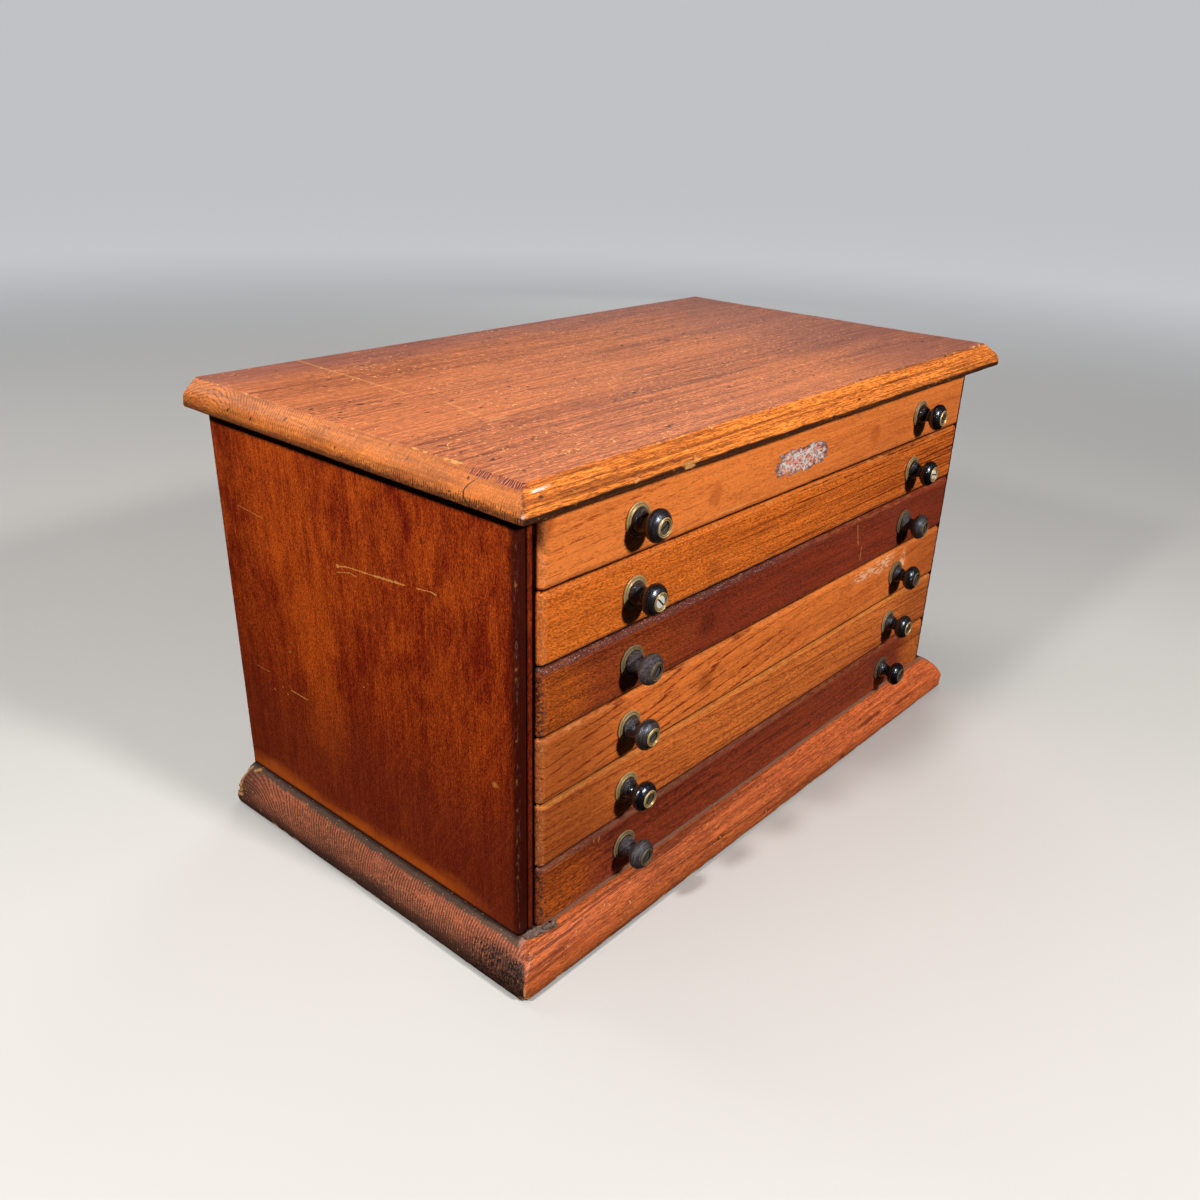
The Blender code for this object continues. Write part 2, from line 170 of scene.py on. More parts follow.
def lattice(rows, columns, closed_rows=False):
    """Quads between neighbours of a lattice whose columns run round, and its rows too if asked."""
    row = np.arange(rows if closed_rows else rows - 1)[:, None]
    column = np.arange(columns)[None, :]
    here, below = row * columns, (row + 1) % rows * columns
    after = (column + 1) % columns
    corners = (here + column, here + after, below + after, below + column)
    return np.stack(np.broadcast_arrays(*corners), axis=-1).reshape(-1, 4)


def poled(points, **marks):
    """A closed shell from a lattice of rings, the first and last of which are a point each."""
    rings = points[1:-1]
    rows, columns = rings.shape[:2]
    column = np.arange(columns)
    after, foot, pole = np.roll(column, -1), (rows - 1) * columns, rows * columns
    faces = [lattice(rows, columns), np.column_stack([after, column, np.full(columns, pole)]),
             np.column_stack([foot + column, foot + after, np.full(columns, pole + 1)])]
    flat = {name: np.append(np.repeat(value[1:-1], columns), value[[0, -1]])
            for name, value in marks.items()}
    return Shell(np.vstack([rings.reshape(-1, 3), points[0, :1], points[-1, :1]]), faces, **flat)


def lattice_normals(points):
    """Cross product of the steps round and down a lattice, turned away from its middle."""
    around = np.roll(points, -1, 1) - np.roll(points, 1, 1)
    normals = np.cross(around, np.gradient(points, axis=0))
    normals /= np.maximum(np.linalg.norm(normals, axis=2, keepdims=True), 1e-12)
    outward = ((points - points.mean((0, 1))) * normals).sum()
    return normals if outward > 0 else -normals


def wander(points, size, seed, waves=14):
    """Smooth unevenness of about -1 to 1: plane waves near one wavelength, at random, added up."""
    chance = np.random.default_rng(seed)
    ways = chance.normal(size=(waves, 3))
    ways /= np.linalg.norm(ways, axis=1, keepdims=True)
    ways *= 2 * np.pi / (size * chance.uniform(0.6, 1.7, (waves, 1)))
    phases = chance.uniform(0, 2 * np.pi, waves)
    return np.sin(points @ ways.T + phases).sum(-1) / math.sqrt(waves)


def softened(corners, rounds=3):
    """A polyline with its corners cut off at a quarter of each side, again and again, ends kept."""
    path = np.array(corners, float)
    for _ in range(rounds):
        near, far = path[:-1], path[1:]
        cut = np.stack([near * 0.75 + far * 0.25, near * 0.25 + far * 0.75], axis=1)
        path = np.vstack([path[:1], cut.reshape(-1, path.shape[1])[1:-1], path[-1:]])
    return path


def smooth_step(value, low, high):
    """0 below low, 1 above high and a smooth S between them."""
    t = np.clip((value - low) / (high - low), 0, 1)
    return t * t * (3 - 2 * t)


def outline_plan(size, spacing, corner_steps):
    """How each point of a rounded rectangle's outline is placed.

    A point is a share of the way from one arc point to another. An arc point is its corner's centre
    plus the radius along a direction, so rows hold two corner signs, two directions and the share.
    """
    signs = np.array([(-1, -1), (1, -1), (1, 1), (-1, 1)])
    rows = []
    for corner in range(4):
        angles = np.radians(180 + 90 * corner + np.linspace(0, 90, corner_steps + 1))
        arc = np.column_stack([np.cos(angles), np.sin(angles)])
        here = np.repeat(signs[corner][None], len(arc), axis=0)
        rows.append(np.column_stack([here, arc, here, arc, np.zeros(len(arc))]))
        count = max(int(size[corner % 2] / spacing) - 1, 1)
        shares = np.arange(1, count + 1) / (count + 1)
        ends = np.concatenate([signs[corner], arc[-1], signs[(corner + 1) % 4], arc[-1]])
        rows.append(np.column_stack([np.repeat(ends[None], count, axis=0), shares]))
    return np.vstack(rows)


def moulded_lattice(low, high, profile, spacing, corner, far_share=1.0, corner_steps=5, growth=0.0):
    """Rounded rectangles stacked up, each drawn in by the profile's inset, at its height.

    far_share scales the inset at the far side of the second direction; 0 keeps that side flat.
    growth adds that share of the inset to the corner's radius, where 0 keeps the corners crisp.
    """
    plan = outline_plan(high - low, spacing, corner_steps)
    inset, height = profile[:, :1], profile[:, 1:]
    radius = corner + growth * inset if growth else np.maximum(corner - inset, 0.15 * corner)
    near = (low[0] + inset + radius, low[1] + inset + radius)
    far = (high[0] - inset - radius, high[1] - inset * far_share - radius)
    ends = []
    for sign, way in ((plan[:, 0:2], plan[:, 2:4]), (plan[:, 4:6], plan[:, 6:8])):
        ends.append([np.where(sign[:, k] < 0, near[k], far[k]) + radius * way[:, k]
                     for k in (0, 1)])
    t = plan[:, 8]
    flat = [ends[0][k] * (1 - t) + ends[1][k] * t for k in (0, 1)]
    return np.stack([flat[0], flat[1], np.broadcast_to(height, flat[0].shape)], axis=-1)


def capped(points, **marks):
    """A closed shell from a lattice of rings, with its first and last ring filled."""
    rows, columns = points.shape[:2]
    ring = np.arange(columns)
    faces = [lattice(rows, columns), ring[None], (rows - 1) * columns + ring[::-1][None]]
    flat = {name: np.broadcast_to(value, (rows, columns)).ravel() for name, value in marks.items()}
    return Shell(points, faces, **flat)


def bitten(points, normals, chips, seed, ragged=0.0022):
    """Sinks a surface at each chip by depth times 1 - (distance / reach) squared, with ragged rims.

    A chip is seven numbers: its centre, its reach in three directions and its depth.
    """
    rough = wander(points, ragged, seed) * 0.35 + wander(points, ragged * 0.4, seed + 1) * 0.15
    sunk = np.zeros(points.shape[:-1])
    for chip in np.array(chips):
        bite = 1 - (((points - chip[:3]) / chip[3:6]) ** 2).sum(-1) + rough
        sunk = np.maximum(sunk, chip[6] * np.clip(bite, 0, 1) ** 0.6)
    return points - normals * sunk[..., None], smooth_step(sunk, 0.00005, 0.00035)


def turned(outline, segments, centre, closed=False, **marks):
    """A radius and height outline turned round an axis along -Y through centre.

    A closed outline makes a ring, and an open one has both its ends on the axis.
    """
    outline = np.array(outline, float)
    angle = np.linspace(0, 2 * np.pi, segments, endpoint=False)
    radius, height = outline[:, :1], outline[:, 1:]
    points = np.stack([centre[0] + radius * np.cos(angle),
                       np.broadcast_to(centre[1] - height, (len(outline), segments)),
                       centre[2] + radius * np.sin(angle)], axis=-1)
    if not closed:
        return poled(points, **marks)
    flat = {name: np.repeat(value, segments) for name, value in marks.items()}
    return Shell(points, [lattice(len(outline), segments, True)], **flat)


def add_piece(name, shells, material, body, stands_for=(), crease=40):
    """Put shells into one mesh object that rides on a body and takes its finish from a slot."""
    starts = np.cumsum([0] + [len(shell.points) for shell in shells])
    faces = [face for shell, start in zip(shells, starts) for group in shell.faces
             for face in (group + start).tolist()]
    mesh = bpy.data.meshes.new(name)
    mesh.from_pydata(np.vstack([shell.points for shell in shells]), [], faces)
    for mark in sorted({mark for shell in shells for mark in shell.marks}):
        values = [shell.marks.get(mark, np.zeros(len(shell.points))) for shell in shells]
        values = np.concatenate(values).astype("f")
        mesh.attributes.new(mark, "FLOAT", "POINT").data.foreach_set("value", values)
    mesh.materials.append(material)
    mesh.shade_smooth()
    mesh.set_sharp_from_angle(angle=math.radians(crease))
    if mesh.validate(verbose=False):
        raise RuntimeError(f"{name} has broken faces")
    piece = bpy.data.objects.new(name, mesh)
    bpy.context.scene.collection.objects.link(piece)
    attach(piece, body)
    for node in stands_for:
        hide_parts(node)


# Materials

class Socket:
    """A node's output; arithmetic on it and on numbers adds Math nodes."""

    def __init__(self, paint, socket):
        self.paint, self.socket = paint, socket

    def alone(self, operation):
        """Maths on this value only, such as its sine."""
        return self.paint.node("ShaderNodeMath", {"operation": operation}, {0: self})

    def join(self, operation, first, second):
        """Maths on two values."""
        return self.paint.node("ShaderNodeMath", {"operation": operation}, {0: first, 1: second})

    def __abs__(self):
        return self.alone("ABSOLUTE")

    def __add__(self, other):
        return self.join("ADD", self, other)

    def __sub__(self, other):
        return self.join("SUBTRACT", self, other)

    def __rsub__(self, other):
        return self.join("SUBTRACT", other, self)

    def __mul__(self, other):
        return self.join("MULTIPLY", self, other)

    def __truediv__(self, other):
        return self.join("DIVIDE", self, other)

    def __pow__(self, other):
        return self.join("POWER", self, other)

    __radd__, __rmul__ = __add__, __mul__


class Paint:
    """The node tree of a material or world, the shade laid on so far, and short words for nodes."""

    def __init__(self, name, seed=0, kind="materials", space="Object"):
        self.owner = getattr(bpy.data, kind).new(name)
        self.owner.use_nodes = True
        self.tree = self.owner.node_tree
        self.tree.nodes.clear()
        self.seed = np.random.default_rng(seed).uniform(-9, 9, 3)
        self.place = self.node("ShaderNodeTexCoord", output=space)
        self.shade = None

    def node(self, kind, settings=None, values=None, output=0):
        """Add a node: its settings first, then the values or links of its sockets."""
        node = self.tree.nodes.new(kind)
        for key, value in (settings or {}).items():
            if key == "stops":
                ramp = node.color_ramp
                for _ in value[2:]:
                    ramp.elements.new(0.5)
                for element, (position, shade) in zip(ramp.elements, value):
                    element.position, element.color = position, (*shade, 1.0)
            else:
                setattr(node, key, value)
        for key, value in (values or {}).items():
            if isinstance(value, Socket):
                self.tree.links.new(value.socket, node.inputs[key])
            else:
                node.inputs[key].default_value = value
        return Socket(self, node.outputs[output]) if node.outputs else None

    def mark(self, name):
        """A mark that the mesh carries at each of its points."""
        return self.node("ShaderNodeAttribute", {"attribute_name": name}, output="Fac")

    def vector(self, operation, first, second, output=0):
        """Maths on two vectors."""
        settings = {"operation": operation}
        return self.node("ShaderNodeVectorMath", settings, {0: first, 1: second}, output)

    def split(self):
        """The place's three coordinates."""
        node = self.node("ShaderNodeSeparateXYZ", None, {0: self.place}).socket.node
        return [Socket(self, socket) for socket in node.outputs]

    def noise(self, scales, detail=2.0, roughness=0.5, distortion=0.0, offset=0.0, lean=0.0):
        """Noise about 0.5, with one scale for all axes or one for each; 100 makes 10 mm features.

        lean turns the pattern about X by that many radians.
        """
        scales, place = scales if isinstance(scales, tuple) else (scales,) * 3, self.place
        if lean:
            turn = {"Vector": place, "Angle": lean}
            place = self.node("ShaderNodeVectorRotate", {"rotation_type": "X_AXIS"}, turn)
        moved = self.vector("MULTIPLY_ADD", place, scales)
        moved.socket.node.inputs[2].default_value = [s + offset for s in self.seed]
        values = {"Vector": moved, "Scale": 1.0, "Detail": detail, "Roughness": roughness,
                  "Distortion": distortion}
        return self.node("ShaderNodeTexNoise", None, values)

    def smooth(self, value, low, high):
        """0 at low and 1 at high with a smooth S between, or falling when low is above high."""
        settings = {"interpolation_type": "SMOOTHSTEP"}
        flip = low > high
        values = {"Value": value, "From Min": min(low, high), "From Max": max(low, high),
                  "To Min": float(flip), "To Max": float(not flip)}
        return self.node("ShaderNodeMapRange", settings, values)

    def patchy(self, low, high, *noise, **more):
        """Noise made into patches: 0 where it is at low and 1 where it is at high."""
        return self.smooth(self.noise(*noise, **more), low, high)

    def ramp(self, value, *stops):
        """Colour of a value between stops of a position and a colour each."""
        return self.node("ShaderNodeValToRGB", {"stops": stops}, {"Fac": value})

    def mix(self, factor, first, second):
        """Colour mix; first and second are colours or links."""
        first, second = (c if isinstance(c, Socket) else (*c, 1.0) for c in (first, second))
        settings = {"data_type": "RGBA", "blend_type": "MIX", "clamp_factor": True}
        return self.node("ShaderNodeMix", settings, {0: factor, 6: first, 7: second}, output=2)

    def coat(self, *layers):
        """Lay colours or links over the shade so far, each with its amount before it."""
        for amount, over in layers:
            self.shade = self.mix(amount, self.shade, over)

    def scaled(self, vector, factor):
        """A colour made lighter or darker, or a vector made longer or shorter, by a factor."""
        return self.node("ShaderNodeVectorMath", {"operation": "SCALE"}, {0: vector, 3: factor})

    def most(self, first, *others):
        """The largest of some values."""
        for other in others:
            first = first.join("MAXIMUM", first, other)
        return first

    def spot(self, centre, reach, ragged=0.0, size=80.0):
        """1 at a place and 0 past its reach in three directions; ragged shifts the rim by noise."""
        near = self.vector("DIVIDE", self.vector("SUBTRACT", self.place, centre), reach)
        near = self.vector("LENGTH", near, (0, 0, 0), output="Value")
        if ragged:
            near = near + (self.noise(size, 3.0, offset=centre[2] * 90) - 0.5) * ragged
        return self.smooth(near, 1.0, 0.45)

    def stroke(self, start, end, width, broken=1.0):
        """1 along a straight scratch, broken up by noise."""
        run = np.subtract(end, start)
        near = self.vector("SUBTRACT", self.place, start)
        along = self.vector("DOT_PRODUCT", near, run / (run @ run), output="Value")
        along = self.node("ShaderNodeClamp", None, {0: along})
        miss = self.vector("DISTANCE", near, self.scaled(tuple(run), along), output="Value")
        rough = self.noise(420, 2.0, offset=start[1] * 70) - 0.5
        return self.smooth(miss + rough * width * 2.4 * broken, width, width * 0.35)

    def finish(self, roughness, height=None, depth=0.0003, metallic=0.0, specular=0.4,
               gloss=(1, 1, 1), glow=None):
        """The shader: the shade laid on so far, roughness and relief of height times depth."""
        values = {"Base Color": self.shade, "Roughness": roughness, "Metallic": metallic,
                  "Specular IOR Level": specular, "Specular Tint": (*gloss, 1.0)}
        if height is not None:
            bump = {"Strength": 1.0, "Distance": depth, "Height": height}
            values["Normal"] = self.node("ShaderNodeBump", None, bump)
        if glow is not None:
            values |= {"Emission Strength": 1.0, "Emission Color": glow}
        shader = self.node("ShaderNodeBsdfPrincipled", None, values)
        self.node("ShaderNodeOutputMaterial", None, {"Surface": shader})
        return self.owner


# Which coordinate runs along the grain, and which two across it
GRAIN_ORDER = {"X": (0, 1, 2), "Y": (1, 0, 2), "Z": (2, 0, 1)}

# Radians per metre of the sine patterns on the boards' ends
SAW_RIBS, TOP_ARCS, BASE_ARCS, SPLINTERS = 2950, 2500, 2300, 3100


class Timber:
    """Wood cut from a solid log: growth rings about a pith line, fibres, pores and slow tones.

    A point's ring is its distance from the pith line, which sways and leans, over the ring's width.
    A ring ends in a thin dark line, and its first part is rich in pores. bend is how much of the
    depth below face counts, so that a low value keeps the figure straight over a rounded edge.
    """

    def __init__(self, paint, grain, pith, ring, lean=0.0, sway=0.012, line=0.2, pore=(9.0, 0.6),
                 rich=0.1, gaps=(0.34, 0.56), dense=0.6, face=0.0, bend=1.0):
        self.paint, self.order = paint, GRAIN_ORDER[grain]
        axes = paint.split()
        along, first, second = (axes[k] for k in self.order)
        drift = self.noise(1.5, 6, 2.0) - 0.5
        ripple = self.noise(6, 34, 3.0, 0.55, offset=4.0) - 0.5
        first = (first - face) * bend + (face - pith[0]) + drift * sway
        second = second - pith[1] + along * lean + ripple * sway * 0.3
        uneven = self.noise(1.2, 75, 1.0, offset=6.0)
        rings = ((first * first + second * second) ** 0.5) / ring + uneven * 1.3
        turn = rings.alone("FRACT")
        broken = paint.smooth(self.noise(70, 700, 2.0, 0.6, offset=5.0), *gaps)
        fall = paint.smooth(turn, 1.0, 1 - line * 0.12)
        self.late = paint.smooth(turn, 1 - line, 1 - line * 0.3) * fall * broken
        early = paint.smooth(turn, 0.6, 0.0)
        self.fibres = self.noise(26, 620, 3.0, 0.62, offset=7.0)
        self.streaks = self.noise(4, 170, 3.0, 0.6, offset=9.0)
        self.broad = self.noise(1.7, 13, 2.0, 0.5, offset=11.0)
        self.grit = self.noise(330, 950, 2.0, 0.7, offset=13.0)
        self.lines = paint.smooth(self.noise(6, 560, 2.0, 0.55, offset=14.0), 0.56, 0.61)
        holes = self.noise(1000 / pore[0], 1000 / pore[1], 1.0, 0.4, offset=15.0)
        self.pores = paint.smooth(holes + early * rich, dense, dense + 0.05)

    def noise(self, along, across, *noise, **more):
        """Noise with one scale along the grain and another for both ways across it."""
        scales = [across] * 3
        scales[self.order[0]] = along
        return self.paint.noise(tuple(scales), *noise, **more)

    def tone(self, figure=0.3, fibres=0.5, streaks=0.4, broad=0.5, grit=0.3):
        """0 for the darkest and 1 for the lightest wood."""
        value = 0.57 - self.late * figure + (self.fibres - 0.5) * fibres * 2.6
        value = value + (self.streaks - 0.5) * streaks * 2.2
        return value + (self.broad - 0.5) * broad * 2 + (self.grit - 0.5) * grit * 3

    def shade(self, tone, light, dark, pores=0.6, lines=0.35, crisp=1.0):
        """Colour of a tone, from a deep stop below dark to a pale one above light, and dark pores.

        crisp is how much the finest grain lightens and darkens the colour.
        """
        paint = self.paint
        stops = ((0.06, dark * 0.45), (0.32, dark), (0.6, light), (0.92, light * 1.3))
        shade = paint.mix(self.lines * lines, paint.ramp(tone, *stops), dark * 0.5)
        shade = paint.mix(self.pores * pores, shade, dark * 0.25)
        fine = 1 + (self.grit - 0.5) * 2.0 * crisp + (self.fibres - 0.5) * 0.9 * crisp
        return paint.scaled(shade, fine)

    def relief(self):
        """Height of the surface: fine fibres and open pores."""
        return self.fibres * 0.5 - self.pores * 0.8 + self.grit * 0.35


def log_arcs(across, down):
    """Distance from the middle of the arcs that a board's growth rings draw on its end."""
    return (across * across + down * down) ** 0.5


def top_finish(colours):
    """Satin reddish-brown top, glossier orange moulded edge, dark underneath by stain and painted
    shade.
    """
    paint = Paint("top_wood_finish", 3)
    x, y, z = paint.split()
    low, high = node_box("top_board")
    plank = paint.smooth(y, 0.104, 0.1046)
    wood = Timber(paint, "X", (plank * -0.72 + 0.86, plank * -0.03 + 0.36), 0.0019, 0.006, 0.008,
                  0.45, (8.0, 0.65), 0.06, dense=0.55)
    flat, end, under, torn = (paint.mark(name) for name in ("flat", "end", "under", "torn"))
    dark, light, pale, grime_and_shade = colours.top_dark, colours.top_light, colours.end_light, colours.grime_and_shade
    face = wood.shade(wood.tone(0.05, 0.22, 0.26, 0.18, 0.06), light * (1.02, 1.06, 1.25),
                      dark * (1, 1.05, 1.3), 0.48, 0.5, 0.7)
    edge = wood.shade(wood.tone(0.05, 0.2, 0.31, 0.14, 0.06), colours.edge_light, dark,
                      0.52, 0.45, 0.5)

    # The ends: saw ribs near the front and arcs of the log's rings further back
    front = paint.smooth(y, 0.06, -0.1)
    wobble = (paint.noise((60, 22, 60), 3.0) - 0.5) * 16 + (paint.noise(300, offset=32.0) - 0.5) * 5
    rib = (y * SAW_RIBS + wobble).alone("SINE")
    arc = log_arcs(y - 0.15, z - (low[2] - 0.03))
    arc = arc + (paint.noise((30, 60, 60), offset=31.0) - 0.5) * 0.004
    arc = (arc * TOP_ARCS + wobble * 0.5).alone("SINE")
    beads = paint.patchy(0.38, 0.52, (380, 300, 420), 1.0, offset=33.0)
    ribs = paint.smooth(rib, -0.2, 0.7) * front * beads
    ribs = ribs * (0.22 + paint.smooth(under, -0.1, 0.35) * 0.78)
    arcs = paint.smooth(arc, 0.0, 0.8) * (1 - front) * beads
    brushed = paint.noise((300, 16, 420), 3.0, 0.6, offset=35.0)
    brown = paint.smooth(paint.noise((16, 26, 60), 4.0, 0.6, offset=36.0) + under * 0.1, 0.5, 0.66)
    tip = wood.shade(wood.tone(0.0, 0.06, 0.1, 0.26, 0.06), pale, pale * 0.42, 0.1, 0.0, 0.45)
    paint.shade = paint.scaled(tip, 1 + (brushed - 0.5) * 1.5)
    paint.coat((brown * 0.45, pale * (0.62, 0.44, 0.36)),
               (paint.most(ribs * 0.88, arcs * 0.6), pale * (0.17, 0.1, 0.09)))
    paint.shade = paint.mix(flat, paint.mix(end, edge, paint.shade), face)

    # Grain, wear, stains, painted shade and painted highlights over all of it
    veins = paint.patchy(0.58, 0.64, (3.2, 260, 260), 2.0, 0.5, 0.2, offset=2.0) * (1 - end)
    bands = paint.patchy(0.52, 0.68, (1.1, 24, 3), offset=3.0) * flat
    glow = paint.patchy(0.5, 0.66, (1.6, 15, 3), offset=8.0) * flat
    drift = (paint.noise(9, 3.0, offset=17.0) - 0.5) * 0.25
    # Painted sheen: the mauve laid over the right half and the back of the top stands in for
    # reflected light
    worn = paint.most(paint.smooth(x + drift, 0.02, 0.3) * 0.9,
                      paint.smooth(y + drift * 0.3, 0.1, 0.17)) * flat
    rubbed = paint.mix(paint.smooth(wood.fibres, 0.35, 0.65), tint(98, 58, 56), tint(146, 92, 88))
    lower = paint.noise((16, 60, 170), 3.0, 0.6, offset=5.0) - 0.5
    # Stain and painted shade: the lower part of the moulding and the underside are darkened
    stain = paint.smooth(under + lower * 0.8 + (1 - end) * 0.04, 0.42, 0.66)
    blots = paint.patchy(0.62, 0.7, (30, 70, 70), 4.0, 0.7, offset=6.0) * (1 - flat) * (1 - end)
    comb = y * SPLINTERS + (paint.noise((90, 160, 90), 3.0, 0.6) - 0.5) * 22
    comb = comb.alone("SINE")
    splinters = paint.mix(paint.smooth(comb, -0.2, 0.6), tint(64, 22, 16), tint(200, 106, 76))
    raw = paint.most(paint.mark("raw"), *top_marks(paint, high[2]))

    # A crack down the left moulding, bowed as a parabola: astray is the distance from it
    crack_y, crack_z, bend = -0.15, 0.3945, 97.0
    bow = z - crack_z
    astray = y - crack_y + bow * bow * bend + lower * 0.002
    crack = paint.smooth(abs(astray), 0.0009, 0.0003) * paint.smooth(z, 0.3846, 0.3862)
    crack = crack * paint.smooth(z, 0.403, 0.401) * paint.smooth(x, 0.0, -0.1)

    # The dirt of the left front corner, and its painted highlights: a streak below the arris and a
    # glint spot
    painted_gleam = paint.most(
        paint.stroke((-0.334, -0.1966, 0.4014), (-0.3245, -0.1966, 0.4018), 0.0012, 0.3),
        paint.stroke((-0.335, -0.1962, 0.4012), (-0.317, -0.1962, 0.4026), 0.0011, 0.9) * 0.5)
    dirt = paint.most(
        paint.stroke((-0.3512, -0.2052, 0.3858), (-0.3493, -0.2035, 0.3935), 0.0026, 1.5),
        paint.stroke((-0.3493, -0.2035, 0.3935), (-0.3425, -0.1965, 0.4025), 0.0022, 1.5))
    painted_glint = paint.spot((-0.35, -0.2041, 0.3908), (0.0024, 0.0024, 0.0016), 0.9, 500)
    specks = paint.patchy(0.68, 0.73, 330, 1.0, offset=21.0)
    specks = specks * paint.patchy(0.42, 0.56, 11, 3.0, 0.6, offset=22.0)
    dents = paint.patchy(0.71, 0.77, (100, 180, 180), 1.0, offset=25.0)
    paint.coat((veins * (0.56 - flat * 0.22), dark * 0.4), (bands * 0.36, dark * (0.9, 0.95, 1.2)),
               (glow * 0.25, light * 1.28), (worn * 0.6, rubbed),
               (stain * (0.92 - end * 0.4), grime_and_shade * (0.75, 0.7, 0.8)), (blots * 0.35, dark * 0.4),
               (torn * 0.9, splinters), (raw * 0.75, colours.raw), (crack * end * 0.9, grime_and_shade * 0.4),
               (painted_gleam * (1 - flat) * 0.7, tint(238, 234, 232)),
               (dirt * (1 - flat) * 0.62, tint(84, 44, 36)), (painted_glint * 0.7, tint(236, 196, 186)),
               (specks * (0.3 + flat * 0.6), colours.raw * (1.3, 1.3, 1.5)), (dents * 0.8, grime_and_shade))
    roughness = 0.24 + flat * 0.2 + end * 0.14 + wood.fibres * 0.14 + stain * 0.1
    height = wood.relief() - dents - raw * 0.4 + torn * paint.smooth(comb, -1, 1) * 1.6
    height = height - ribs * 1.4 * end - crack * end
    return paint.finish(roughness, height, 0.00026, specular=0.32)


def top_marks(paint, level):
    """Long scratch, short scratches and pale specks on the top board."""
    def at(x, y):
        return (x, y, level)
    strokes = [(at(-0.2395, 0.186), at(-0.2455, 0.03), 0.0015, 0.45),
               (at(-0.212, 0.149), at(-0.2136, 0.129), 0.0007),
               (at(-0.24, -0.008), at(-0.249, -0.052), 0.0013, 0.6)]
    specks = [(-0.2943, -0.1055, 0.0018), (-0.1435, 0.1185, 0.0016), (-0.0691, 0.0504, 0.002),
              (0.0367, 0.0906, 0.0018), (0.1982, 0.008, 0.002)]
    spots = [(at(-0.2458, -0.072), (0.016, 0.003, 0.003))]
    spots += [(at(x, y), (radius,) * 3) for x, y, radius in specks]
    marks = [paint.stroke(*stroke) * 0.65 for stroke in strokes]
    return marks + [paint.spot(*spot, ragged=0.9, size=300) * 0.7 for spot in spots]


